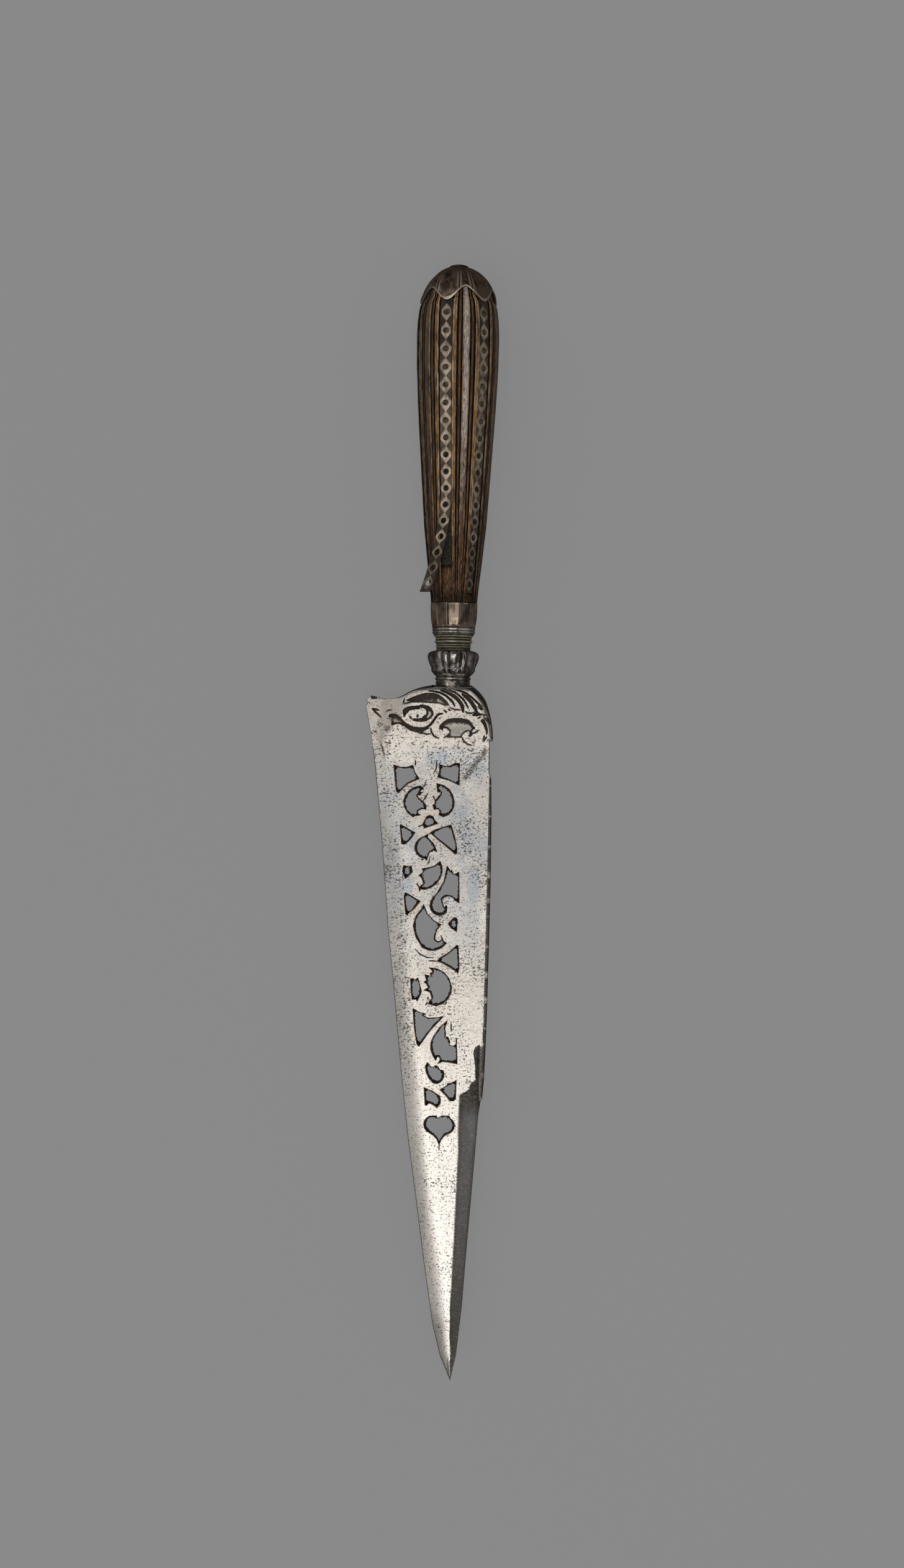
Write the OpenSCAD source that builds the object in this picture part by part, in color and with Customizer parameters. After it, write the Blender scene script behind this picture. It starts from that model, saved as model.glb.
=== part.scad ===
// A knife with a pierced steel blade, a chiselled bolster and a fluted grip inlaid with silver strips.
// +Y runs from the blade's root to the pommel, -Y to the tip. +X is the back and -X the cutting edge.
// +Z is the front face. The origin is on the long axis, where the bolster meets the neck.

/* [Blade] */
// Length from the root to the tip
blade_len = 217.9; // [190:1:250]
// Reach of the cutting edge from the long axis at the heel
edge_reach = 27.3; // [24:0.1:32]
// Reach of the back from the long axis at the bolster
back_reach = 12.9; // [11.5:0.1:15]
// Thickness between the flats
blade_t = 3.4; // [2.6:0.1:4.2]
// Thickness left at the cutting edge
edge_t = 0.4; // [0.2:0.1:0.8]
// Thickness left at the false edge near the tip
false_edge_t = 0.7; // [0.4:0.1:1.2]
// Thickness of the chiselled rib along the back
rib_t = 2.4; // [1.6:0.1:2.6]

/* [Bolster] */
// Length of the chiselled bolster
bolster_len = 16.9; // [14:0.1:20]
// Greatest thickness of the bolster
bolster_t = 10.8; // [9:0.1:11.5]
// Depth of the sunk grounds
relief_d = 0.8; // [0.4:0.1:1.2]
// Depth of the engraved lines
line_d = 0.3; // [0.1:0.05:0.5]
// Width of the engraved lines
line_w = 0.35; // [0.2:0.05:0.6]

/* [Neck and knop] */
// Diameter of the turned neck
neck_d = 10.7; // [9.5:0.1:12]
// Length of the neck below the knop
neck_len = 3.2; // [2:0.1:5]
// Greatest diameter of the knop
knop_d = 16.2; // [14:0.1:18]
// Length of the knop
knop_len = 8.1; // [6.5:0.1:10]
// Number of wide gadroons, each with a narrow one beside it
gadroons = 8; // [6:1:10]
// Depth of the grooves between the gadroons
gadroon_d = 0.5; // [0.3:0.1:0.8]

/* [Tang] */
// Diameter of the round stem through the collar and the ferrule
stem_d = 6; // [5:0.1:7]
// Length of the stem inside the grip's foot
stem_in_grip = 6; // [4:0.5:10]
// Width of the flat tang
tang_w = 5; // [4:0.1:5.5]
// Thickness of the flat tang
tang_t = 3; // [2.4:0.1:3.8]
// Diameter of the riveted end
rivet_d = 2.8; // [2.2:0.1:3.4]
// Diameter of the bore through the grip
bore_d = 7.6; // [7.2:0.1:8.4]
// Wood left between the bore and the top of the grip
bore_roof = 1.5; // [1:0.1:3]

/* [Collar and ring] */
// Length of the turned collar
collar_len = 5.4; // [4:0.1:7]
// Diameter at the collar's foot
collar_d = 10.6; // [9.5:0.1:12]
// Length of the bright ring
ring_len = 1.7; // [1.2:0.1:2.4]
// Diameter of the bright ring
ring_d = 13.6; // [12.4:0.1:14.4]
// Gap between the stem and what it passes through
stem_gap = 0.1; // [0.05:0.05:0.3]

/* [Ferrule] */
// Length of the ferrule
ferrule_len = 7.9; // [6:0.1:10]
// Greatest diameter of the ferrule between its ribs
ferrule_d = 15.1; // [14.6:0.1:16.4]
// Wall of the ferrule
ferrule_wall = 0.7; // [0.5:0.1:0.9]
// Thickness of the ferrule's floor
ferrule_floor = 0.8; // [0.5:0.1:1.2]
// Number of panels
panels = 12; // [8:1:16]
// Height of the ribs between the panels
panel_rib = 0.25; // [0.1:0.05:0.4]
// Gap between the ferrule and the grip's foot
foot_gap = 0.1; // [0.05:0.05:0.2]

/* [Grip] */
// Visible length from the ferrule to the cap
grip_len = 93.3; // [84:0.1:104]
// Diameter at the ferrule
grip_low_d = 14.5; // [14:0.1:15]
// Greatest diameter
grip_max_d = 25.9; // [23:0.1:28]
// Width of a channel at the ferrule
channel_low_w = 3.5; // [3:0.1:4]
// Width of a channel at the cap
channel_top_w = 4.6; // [4.2:0.1:5]
// Depth of the channels
channel_d = 1.4; // [1.2:0.1:1.8]
// Depth of the grooves between the reeds at the grip's widest
reed_d = 0.5; // [0.3:0.05:0.7]
// Turn of the grip about the long axis
grip_turn = -18; // [-30:1:30]

/* [Strips] */
// Thickness of the backing foil
foil_t = 0.2; // [0.1:0.05:0.25]
// Thickness of the silver strip
strip_t = 0.5; // [0.4:0.05:0.6]
// Gap left at each side of a strip in its channel
strip_gap = 0.1; // [0.1:0.05:0.4]
// Diameter of the holes
hole_d = 1.8; // [1.2:0.1:2]
// Number of holes in a strip
holes = 17; // [12:1:19]
// Distance from the ferrule to a strip's lower end
strip_foot = 2.8; // [2:0.1:5]
// Distance from the ferrule to where the first strip has come loose
loose_from = 33.8; // [24:0.1:40]
// How far the loose end stands to the side
loose_side = 6.2; // [4:0.1:8]
// How far the middle of the loose stretch stands up
loose_lift = 0.5; // [0.3:0.1:1]
// How far the loose end has sunk below the height where it leaves the channel
loose_drop = 0.6; // [0:0.1:1]
// How far the loose end is twisted
loose_twist = 8; // [0:1:16]
// Distance from the ferrule to where the first foil is torn off
foil_torn = 10.8; // [6:0.1:16]

/* [Cap and button] */
// Diameter of the cap at its foot
cap_d = 24.1; // [23:0.1:25.5]
// Height of the cap's dome
cap_h = 12.4; // [11:0.1:14]
// Thickness of the cap
cap_t = 0.9; // [0.7:0.05:1.1]
// Depth of the petals' flutes
flute_d = 0.5; // [0.2:0.05:0.6]
// Rise of the arches between the petals
arch_h = 4.2; // [3:0.1:5.5]
// Gap between the cap and the grip
cap_gap = 0.1; // [0.05:0.05:0.2]
// Diameter of the button
button_d = 6.2; // [5:0.1:7.5]
// Height of the button
button_h = 0.9; // [0.6:0.1:1.4]

/* [Hidden] */
channels = 6;
sides = [for (i = [1:channels]) i];

steel = "#a9a49c";
verdigris = "#4d5238";
silver = "#a39684";
dull_silver = "#8c7a68";
wood = "#4a3526";
green_foil = "#3d5540";
resin = "#6b4a2a";

// Places along the long axis
knop_y = neck_len;
collar_y = knop_y + knop_len;
ring_y = collar_y + collar_len;
ferrule_y = ring_y + ring_len;
grip_y = ferrule_y + ferrule_len;
cap_y = grip_y + grip_len;
button_y = cap_y + cap_h * sqrt(1 - pow(button_d / cap_d, 2));
cap_inner_h = cap_h - cap_t;
grip_top_y = cap_y + cap_inner_h - cap_gap;
foot_y = ferrule_y + ferrule_floor + foot_gap;
foot_d = ferrule_d - 2 * ferrule_wall - 2 * foot_gap;
stem_end_y = grip_y + stem_in_grip;
bore_end_y = grip_top_y - bore_roof;
bar_end_y = bore_end_y - bore_roof / 5;
rivet_y = button_y + button_h + 0.2;
rivet_hole_d = rivet_d + 2 * stem_gap;
strip_y = grip_y + strip_foot;
loose_y = grip_y + loose_from;

// Sizes at which the outlines below were drawn
drawn_len = 217.9;
drawn_bolster = 16.9;
drawn_edge = 27.3;
drawn_back = 12.9;
over = 1;
round_fn = 96;
// Share of a channel's width that is left at its floor
wall_lean = 0.97;

// Moves a drawn point to the blade's real length and reaches
function fit_y(y) = y > -drawn_bolster
    ? y * bolster_len / drawn_bolster
    : -bolster_len + (y + drawn_bolster) * (blade_len - bolster_len) / (drawn_len - drawn_bolster);
function fit_x(x) = x < 0 ? x * edge_reach / drawn_edge : x * back_reach / drawn_back;
function fit(p) = [fit_x(p[0]), fit_y(p[1])];

// Points of the side that leaves a and ends at b. The third number of a bends it: the rise of
// the arc over half the chord, to the left of the way from a to b. A straight piece of the arc
// turns by no more than the step.
arc_step = 24;
heel_step = 6;
function arc_side(a, b, step = arc_step) = let(k = len(a) > 2 ? a[2] : 0) k == 0 ? [[a[0], a[1]]] : let(
    chord = [b[0] - a[0], b[1] - a[1]],
    c = norm(chord),
    left = [-chord[1], chord[0]] / c,
    rise = k * c / 2,
    radius = (c * c / 4 + rise * rise) / (2 * rise),
    centre = [a[0] + b[0], a[1] + b[1]] / 2 + left * (rise - radius),
    from = atan2(a[1] - centre[1], a[0] - centre[0]),
    turn = 4 * atan(k),
    n = max(2, ceil(abs(turn) / step))
) [for (i = [0:n - 1]) centre + abs(radius) * [cos(from - turn * i / n), sin(from - turn * i / n)]];
function ring(v, step = arc_step) = [for (i = [0:len(v) - 1])
    each arc_side(v[i], v[(i + 1) % len(v)], step)];
// A drawn line's points, with two more along each straight side
function stroke_side(a, b) = len(a) > 2 ? arc_side(a, b) : [a, a * 0.7 + b * 0.3, a * 0.3 + b * 0.7];
function open_path(v) = let(n = len(v)) concat(
    [for (i = [0:n - 2]) each stroke_side(v[i], v[i + 1])], [[v[n - 1][0], v[n - 1][1]]]
);

// A drawn outline at the blade's real size
module shape(v) polygon([for (p = ring(v)) fit(p)]);

// A line along a drawn path, w wide in the middle and pointed at both ends
module stroke(v, w) {
    p = [for (q = open_path(v)) fit(q)];
    n = len(p);
    side = [for (i = [0:n - 1]) let(
        d = p[min(n - 1, i + 1)] - p[max(0, i - 1)],
        t = i / (n - 1)
    ) [-d[1], d[0]] / norm(d) * w / 2 * min(1, 0.3 + 3 * min(t, 1 - t))];
    polygon(concat([for (i = [0:n - 1]) p[i] + side[i]], [for (i = [n - 1:-1:0]) p[i] - side[i]]));
}

// A closed solid through rings of points that all have the same number of points. A looped one
// joins its last ring to its first.
module loft(rings, looped = false) {
    n = len(rings[0]);
    m = len(rings);
    walls = [for (i = [0:m - (looped ? 1 : 2)], j = [0:n - 1]) let(
        k = (j + 1) % n,
        a = i * n,
        b = (i + 1) % m * n
    ) each [[a + j, b + k, a + k], [a + j, b + j, b + k]]];
    ends = [[for (j = [0:n - 1]) j], [for (j = [n - 1:-1:0]) (m - 1) * n + j]];
    polyhedron([for (r = rings) each r], looped ? walls : concat(walls, ends));
}

// A solid of revolution about the long axis, from [radius, y] points
module turned(profile) rotate([-90, 0, 0]) rotate_extrude($fn = round_fn) polygon(profile);

// A round bar along the long axis
module bar(d, from, to) rotate([-90, 0, 0]) translate([0, 0, from])
    cylinder(d = d, h = to - from, $fn = round_fn);

// The blade's edges and bevels as [y, x] lines
edge_line = [
    [-6.2, -27.3], [-15, -25.5], [-25, -24.1], [-35, -23], [-50, -21.5], [-75, -19.4], [-95, -17.2],
    [-120, -14.6], [-140, -12.3], [-160, -9.4], [-180, -6.6], [-200, -3.5], [-210, -1], [-217.9, 2.35]
];
bevel_line = [
    [-6.2, -26.6], [-17, -22.6], [-25, -20.5], [-40, -17], [-55, -15.4], [-75, -13.8], [-100, -12.2],
    [-120, -9.4], [-140, -7.5], [-160, -5], [-180, -2], [-190, -0.5], [-205, 1.1], [-217.9, 2.35]
];
back_line = [
    [-16.9, 11.9], [-27, 11.9], [-60, 11.7], [-105, 11.2], [-120, 11], [-130.2, 10.6], [-134.5, 10],
    [-150, 8.9], [-165, 7.8], [-180, 6.7], [-195, 5.7], [-210, 4.1], [-217.9, 2.35]
];
false_line = [
    [-108, 3.6], [-130.5, 3.6], [-145, 3.8], [-160, 3.3], [-175, 2.8], [-190, 2.2], [-217.9, 2.35]
];
// Share of the blade's thickness along it
taper = [[-130, 1], [-200, 0.75], [-217.9, 0.3]];

// Outline of the heel and the bolster, from the edge to the back
heel = [
    [-27.3, -6.2], [-26.6, -5.6], [-27.1, -4.2], [-25.4, -3.1], [-22, -3.9, -0.2], [-14, -2, 0.09],
    [-6.2, 0.4], [5.2, 0.8, 0.15], [10.5, -4.5, 0.09], [12.9, -16.5], [12.8, -16.9], [11.9, -16.9]
];
heel_ring = ring(heel, heel_step);
// The chiselled rib along the back
rib = [
    [11, -26.9], [11.9, -26.9], [12.5, -28.6], [12.75, -40], [12.8, -60], [12.6, -78], [12.2, -104],
    [11.9, -115], [11.6, -123], [11.1, -129.3], [10.2, -130], [10, -124]
];
// Where the false edge starts, cut in an ogee
false_edge = [
    [14, -111], [11.3, -111], [9.3, -112.6, -0.3], [8.2, -114.8, 0.05], [9, -123.4, -0.35],
    [7, -126, 0.1], [4.4, -127.8, -0.2], [3.4, -131], [2.5, -140], [0.5, -200], [0.5, -222], [14, -222]
];
// Share of the bolster's swelling along it, as [y, share]
swelling = [
    [-24, 0], [-18, 0.12], [-12, 0.46], [-7, 0.78], [-3, 0.96], [-1.2, 1], [-0.3, 0.93], [0.3, 0.78],
    [0.9, 0.5]
];
// Share of the bolster's thickness across it, as [x, share]
crossing = [
    [-28, 0.08], [-24, 0.26], [-20, 0.5], [-15, 0.8], [-10, 0.97], [-5, 1], [6, 1], [9.5, 0.9],
    [11.6, 0.72], [12.6, 0.54], [13.2, 0.36]
];

// The pierced openings, from the heel to the tip
openings = [
    [[-18.1, -24.8, -0.23], [-12.1, -24.8, -0.19], [-10.1, -28.9, -0.19], [-16.5, -33.5], [-17.2, -33]],
    [[-3.8, -24.4, -0.32], [1.2, -23.9], [2.5, -23.4], [2.5, -30.8, -0.08], [-4.3, -28.4, -0.18]],
    [[-9.6, -31.2, -0.35], [-14.9, -36, -0.3], [-11.8, -41], [-11.2, -40.6], [-9.5, -40.3],
        [-10.3, -39.9], [-10.4, -39.3, 0.2], [-9.2, -38.4, 0.2], [-7.9, -38.6], [-7.7, -37.4],
        [-8.8, -36.1], [-10.2, -35, 0.2], [-10.7, -34], [-9.8, -34.1], [-9.1, -33.3], [-9.9, -33],
        [-8.7, -32]],
    [[-4.5, -30.4, 0.38], [1, -36, 0.385], [-2.3, -40.8], [-3.7, -40.2], [-3.4, -39.2, -0.3],
        [-4.5, -38.3], [-5.2, -38.6], [-5.7, -37.2], [-5, -36.8], [-5, -35.5], [-4.5, -35.3, 0.15],
        [-3.2, -33.7], [-3.2, -33.1], [-4.2, -33], [-4.4, -31.8]],
    [[-8.2, -42.2], [-8.8, -43.3], [-8.2, -44.4], [-6, -43.6], [-4.1, -42.9], [-5.2, -41.7, -0.9],
        [-7.9, -41.6]],
    [[-15.9, -43.5], [-15, -43.8], [-11.2, -45.9, 0.11], [-14, -49.4], [-14.6, -49.6], [-15.3, -49.4]],
    [[0.1, -43.3], [-5, -45], [-6.4, -45.9], [1.5, -52.4], [1.9, -52.4], [2.1, -51, -0.06]],
    [[-7, -46.3], [-9.9, -47.9, -0.68], [-7.9, -54], [-7.4, -54.5], [-6.9, -52.9], [-6.4, -51.8, -0.25],
        [-5.2, -51.3], [-4.2, -51.8, -0.2], [-7.2, -47.4]],
    [[-3.1, -54.8, 0.25], [-3, -60, 0.26], [-8, -63.7], [-9.2, -63.5], [-9.4, -64.2], [-9.7, -63.1],
        [-8.2, -61.8], [-8.8, -60], [-9.7, -59.3], [-8.6, -58.5], [-8.3, -57.8], [-8.8, -57.2],
        [-7, -56.9, -0.2]],
    [[-14.6, -56.3], [-12.7, -56.6], [-12.2, -56.3], [-11.8, -58.2], [-13.3, -59.8], [-14, -60.3],
        [-14.9, -58]],
    [[-0.9, -56.3], [0.2, -57.9], [0.5, -57.5], [0.9, -58.6], [1.5, -58.8], [2.8, -58.1], [3, -67.7],
        [1.7, -67, -0.62], [-2.4, -66.8], [-1.9, -69], [-1.4, -69.3], [-1.1, -68.5], [-0.8, -69],
        [-0.9, -70.7, 0.67], [-6.1, -69, 0.27], [-4.2, -65.2, -0.17]],
    [[-14, -64.8], [-13.2, -65.1], [-9.2, -67.4, 0.08], [-12.8, -71.2], [-13.2, -71.8],
        [-13.7, -71.5], [-14.3, -66]],
    [[-8.1, -68.5, -0.256], [-2.6, -74.6, -0.2], [-4.4, -78.6, -0.9], [-2.2, -79.2], [-2.5, -78.1],
        [-1.7, -79.8], [-0.8, -80.4, 0.42], [-8.3, -81.9, 0.165], [-11.3, -75, 0.18], [-8.6, -69.6]],
    [[1.5, -72.3], [2.3, -72.5], [2.6, -73.5], [2.3, -76.7], [0.6, -75.6], [-0.3, -74.3]],
    [[2.5, -81], [2.9, -81.2], [3.3, -87.5], [3, -89.7], [1, -88.3], [-2, -86.6], [-3.5, -86.1],
        [-3, -85.2], [0, -83.4]],
    [[-6.1, -88.2, 0.41], [1, -94, 0.42], [-3.8, -100.1], [-6.2, -99.5], [-5.7, -98.5], [-5, -97.8],
        [-5.7, -95.8], [-7.2, -95.3], [-7.6, -95.3], [-6.2, -94.4], [-6.8, -93.3], [-7.6, -92.7],
        [-6.8, -92.2], [-7.4, -90.4], [-5.2, -90.9], [-5.8, -89.9], [-5, -89.7], [-5.1, -89]],
    [[-11.9, -91.9], [-11.2, -91.6], [-10.7, -92], [-10, -91.9], [-9.6, -91.4], [-9, -93.5],
        [-8.4, -95.7], [-9, -97.3], [-9.7, -98.7], [-10, -98.1], [-11.3, -98.2], [-11.7, -94.5]],
    [[-11, -101.1], [-9, -102.2], [-6.9, -102.7], [-7.8, -103.2], [-6, -104], [-3, -103.8],
        [-1.4, -103.4, -0.07], [-8.9, -112.8], [-9.6, -112.2], [-10.5, -107]],
    [[-0.2, -104.8], [-0.9, -107], [-0.6, -109], [-0.8, -109.9], [0.1, -109.8], [0.8, -111.5],
        [0.5, -112], [1, -112.6], [2, -112.6], [2.8, -112], [3, -115], [3.1, -118.2], [1.2, -117.8],
        [-1.5, -117.5], [-2.9, -118.2], [-2.1, -117], [-2.4, -116.3], [-3.1, -115.9], [-3.6, -117.2],
        [-4.5, -115.7, 0.28], [-4.4, -109.7, 0.12]],
    [[-6.2, -117.9], [-5.2, -119.2], [-4.4, -119.6], [-3.8, -118.9], [-3.2, -118.9], [-2.2, -120.2],
        [-1.2, -120.4, 0.45], [-3, -124.5], [-4.3, -124.3, 0.23], [-6.8, -119]],
    [[2.9, -123.5], [0.8, -124.6], [0.4, -124.3], [0, -125.1], [-2.1, -126.4], [0, -128.4],
        [1, -129.8], [2.2, -129.8], [2.8, -129.2]],
    [[-7.1, -125.9], [-4.5, -126.9], [-2.3, -128.3], [-1.9, -129.5], [-2, -130.7], [-3, -132],
        [-3.6, -131.5], [-4.9, -130.7], [-5.7, -130.7], [-6.2, -131.3], [-6.7, -131.3]],
    [[-5.3, -134.7], [-3.1, -134.6], [-3, -135.2], [-2.3, -135.3], [-1.5, -134.6], [0.9, -134.6],
        [1.1, -135.3, 0.63], [1.2, -139.9, -0.4], [-2.1, -145.2, -0.34], [-5.2, -140, 0.7]]
];

// Sunk grounds of the bolster's relief. Their floors rise to the surface below the scrolls.
grounds = [
    [[-15.1, -9.8], [-15.5, -7.7, 0.2], [-14, -6.65, 0.05], [-10.3, -6.25], [-9.8, -5.95],
        [-7.6, -6.3, 0.3], [-6, -9, 0.25], [-9.5, -11.1, 0.1], [-12.4, -10.7], [-12.2, -10.4, -0.1],
        [-9.4, -10.1], [-9, -9.5], [-8.1, -9, -0.45], [-8.8, -6.9, -0.1], [-10.2, -6.6],
        [-10.2, -7.1, -0.05], [-13.4, -7.6, -0.12]],
    [[-19.9, -9.8], [-19.8, -9.1, 0.1], [-18.2, -8.8, 0.1], [-16.4, -9.9], [-14.8, -11.6, -0.05],
        [-12.2, -12.9, -0.05], [-8.3, -13], [-7.2, -13.1], [-8.8, -13.9], [-9.4, -15], [-10.4, -14.6],
        [-13, -13.9, -0.1], [-17, -11.7], [-18.9, -12.3], [-18.9, -9.8]],
    [[-3, -13.7], [-3.8, -13.2], [-3.9, -12.4, 0.08], [-1.5, -10.4, 0.08], [2, -10, 0.06],
        [5, -10.5, 0.15], [6.6, -12.5], [7.1, -12.7], [7, -13.1], [6.3, -13.5], [6.1, -14.2],
        [6.5, -14.9], [5.9, -15.4], [5.1, -15.5], [5.6, -14.7], [5.6, -13.7, -0.25], [3.1, -15.2],
        [3, -15.9], [-1.6, -15.9, -0.15], [-0.6, -14.3, -0.3], [-2.2, -12.9], [-2.9, -12.95]],
    [[9, -10.6], [9.4, -10.2], [9.8, -10.15, 0.12], [11.1, -13.5], [10.95, -15.2], [10.7, -13.8, -0.12]],
    [[10.8, -9.3, 0.05], [11.7, -10.8], [12, -11.9], [11.6, -11.5], [11, -10.2]],
    [[6.3, -8.8], [7, -8.1], [8.2, -8.2], [9.1, -8.8], [8, -9], [6.6, -9.1]]
];
// The ground under the feathers, deepest beside them
feather_ground = [
    [-14.4, -4.5], [-12.8, -3.7], [-11, -3.05, 0.05], [-8, -2.2, 0.1], [-4.6, -2.6, 0.1],
    [-1.6, -5.1, -0.08], [0, -7.2], [-1, -6.9], [-2.2, -6.2], [-4, -5.4], [-9, -5.1], [-12.8, -5]
];
feather_deep_y = -2.4;
feather_shallow_y = -5.6;
// Grooves between the feathers, as [path, width]
feather_grooves = [
    [[[-7.6, -1.5, 0.05], [-4, -2, 0.12], [-0.6, -4.2, 0.12], [0.7, -6.2]], 0.45],
    [[[-3.9, -1.2, 0.1], [0.6, -3.2, 0.1], [2.9, -5.7, 0.08], [3.4, -8]], 0.9],
    [[[-3.5, -0.75, 0.08], [0.6, -1.8, 0.05], [3.3, -4, 0.08], [5, -6.8]], 0.35],
    [[[0.2, -0.9, 0.08], [4, -2, 0.06], [8, -5.2, 0.04], [9.4, -6.9]], 0.4],
    [[[8.2, -5.5], [9.3, -7.2]], 0.9],
    [[[2.9, -2.3, 0.08], [5.7, -4.6, 0.08], [7.8, -8.3]], 0.95],
    [[[-9.9, -13.3, -0.2], [-6.8, -12.1], [-4.6, -9, 0.2], [-3, -8.6]], 0.45]
];
// Engraved lines of the bolster and the blade
bolster_lines = [
    [[-0.9, -6.6, -0.2], [2.9, -7.3]], [[3.9, -7.8, -0.3], [6.9, -8]], [[8.3, -8.4, -0.12], [11.9, -8.8]],
    [[3.1, -15.9, -0.3], [6.2, -18.3]], [[-6.7, -13, -0.2], [-5.8, -15.4, -0.1], [-4.1, -16.3]],
    [[-0.6, -14.4, 0.2], [-2.6, -16.1]], [[-9.3, -14.7, -0.2], [-6.7, -14.9]],
    [[6.3, -14.5, -0.3], [8.3, -13.4]], [[-25.2, -7.2], [-22.3, -10]], [[-25.2, -7.2], [-23, -7.7]],
    [[-20.9, -8.2, 0.2], [-19, -7.6]], [[-13.4, -9.5], [-12.6, -10.4]], [[-10.8, -8.9], [-10.9, -9.9]],
    [[10.1, -15.2], [10, -16.4]], [[10.9, -15.6], [9.7, -17.2]], [[-15.2, -5.6], [-12.8, -5.1]],
    [[-15.1, -4], [-15.5, -5.8]], [[-2.6, -7.5], [-1.8, -8.2]], [[-1.3, -7.1], [-0.6, -7.6]],
    [[10, -9.4], [11.1, -11]], [[7.9, -9.9], [8.9, -9.4]]
];
blade_lines = [
    [[-4.9, -22.9, 0.28], [-5.8, -27.5]], [[-11.3, -23.2], [-11.4, -25]],
    [[-8.1, -29.9, 0.2], [-8.8, -31.8]], [[-8.9, -36.1], [-7.2, -33.4]], [[-5, -35.6], [-5.8, -34.2]],
    [[-8.7, -43.4], [-10.4, -44.1]], [[-6.5, -53.6, 0.2], [-7.2, -56]], [[-9.2, -54.3], [-8.2, -54.3]],
    [[-10.2, -61.5, -0.3], [-9.6, -63]], [[-10.8, -82.2, -0.29], [-4.5, -85.1]],
    [[-3.6, -86.1], [-6.5, -86]], [[-6.2, -97.2], [-6.5, -98.3]], [[-7.1, -100], [-6.4, -98.9]],
    [[-0.3, -98.8], [-1.2, -99.8]], [[1, -105.2], [1.1, -108.2]], [[2.8, -112.1], [2.7, -110]]
];

// The blade's flats, bevels and taper, as a solid that reaches past its outline
function envelope_section(y) = let(
    h = (blade_t / 2 + 0.05) * lookup(y, taper),
    e = edge_t / 2 * min(1, 1.2 * lookup(y, taper)),
    xe = fit_x(lookup(y, edge_line)),
    xb = max(fit_x(lookup(y, bevel_line)), xe + 0.1),
    slope = (h - e) / (xb - xe),
    out = 0.5,
    far = back_reach + over
) [for (p = [
    [xe - out, max(0.02, e - out * slope)], [xb, h], [far, h],
    [far, -h], [xb, -h], [xe - out, -max(0.02, e - out * slope)]
]) [p[0], fit_y(y), p[1]]];
module envelope() loft([for (y = [-222, -217.5, -210, -200, -180, -160, -140, -130, -120, -95, -75, -50,
    -35, -25, -15, -4]) envelope_section(max(y, -222))]);

// What the false edge takes off the front
function false_section(y) = let(
    h = (blade_t / 2 + 0.05) * lookup(y, taper),
    inner = fit_x(lookup(y, false_line)),
    edge = max(fit_x(lookup(y, back_line)), inner + 0.1),
    low = false_edge_t / 2 * lookup(y, taper),
    slope = (h - low) / (edge - inner),
    out = 3
) [for (p = [
    [inner - 0.2, bolster_t], [edge + out, bolster_t], [edge + out, low], [edge, low],
    [inner - 0.2, h + 0.2 * slope]
]) [p[0], fit_y(y), p[1]]];
module false_cut() intersection() {
    loft([for (y = [-222, -217.5, -210, -190, -175, -160, -145, -130, -108]) false_section(y)]);
    linear_extrude(bolster_t + over) shape(false_edge);
}

// The flat blade with its pierced panel
module pierced_blade() {
    outline = concat(
        [for (p = heel_ring) if (p[1] < -over || p[0] < -drawn_edge / 2) p],
        [for (p = back_line) [p[1], p[0]]],
        [for (i = [len(edge_line) - 2:-1:1]) [edge_line[i][1], edge_line[i][0]]]
    );
    intersection() {
        linear_extrude(blade_t, center = true) difference() {
            polygon([for (p = outline) fit(p)]);
            for (o = openings) shape(o);
        }
        envelope();
    }
}

// The bolster's swelling less a depth, which fades out from deep_y to flat_y
module swell(less, flat_y = -17, deep_y = -12.5) {
    rise = (bolster_t - blade_t) / 2;
    function depth(y) = less * max(0, min(1, (y - flat_y) / (deep_y - flat_y)));
    ys = concat(
        [for (s = swelling) if (s[0] < flat_y) s[0]], [flat_y, deep_y],
        [for (s = swelling) if (s[0] > deep_y) s[0]]
    );
    along = [for (y = ys) [fit_y(y), blade_t / 2 + rise * lookup(y, swelling) - depth(y)]];
    across = [for (c = crossing) [fit_x(c[0]), max(0.1, c[1] * bolster_t / 2 - less)]];
    intersection() {
        rotate([90, 0, 90]) translate([0, 0, -edge_reach - over])
            linear_extrude(edge_reach + back_reach + 2 * over) mirrored(along);
        rotate([90, 0, 0]) translate([0, 0, -over]) linear_extrude(bolster_len + 10) mirrored(across);
    }
}

// The area between a line and its mirror image in the X axis
module mirrored(v) polygon(concat(v, [for (i = [len(v) - 1:-1:0]) [v[i][0], -v[i][1]]]));

// The bolster runs out along the line of the bevel
module bolster() intersection() {
    linear_extrude(bolster_t, center = true) polygon([for (p = concat(
        heel_ring, [[11.9, -24], [-20.5, -24], [-22.6, -17], [-26.6, -6.2]]
    )) fit(p)]);
    swell(0);
}

// What is chiselled and engraved on the front
module carving() {
    difference() {
        linear_extrude(bolster_t) for (g = grounds) shape(g);
        swell(relief_d);
    }
    difference() {
        linear_extrude(bolster_t) shape(feather_ground);
        swell(relief_d, feather_shallow_y, feather_deep_y);
    }
    difference() {
        linear_extrude(bolster_t) for (g = feather_grooves) stroke(g[0], g[1]);
        swell(relief_d);
    }
    difference() {
        linear_extrude(bolster_t) for (l = bolster_lines) stroke(l, line_w);
        swell(line_d, -26, -25);
    }
    translate([0, 0, blade_t / 2 - line_d]) linear_extrude(blade_t) for (l = blade_lines) stroke(l, line_w);
}

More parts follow.
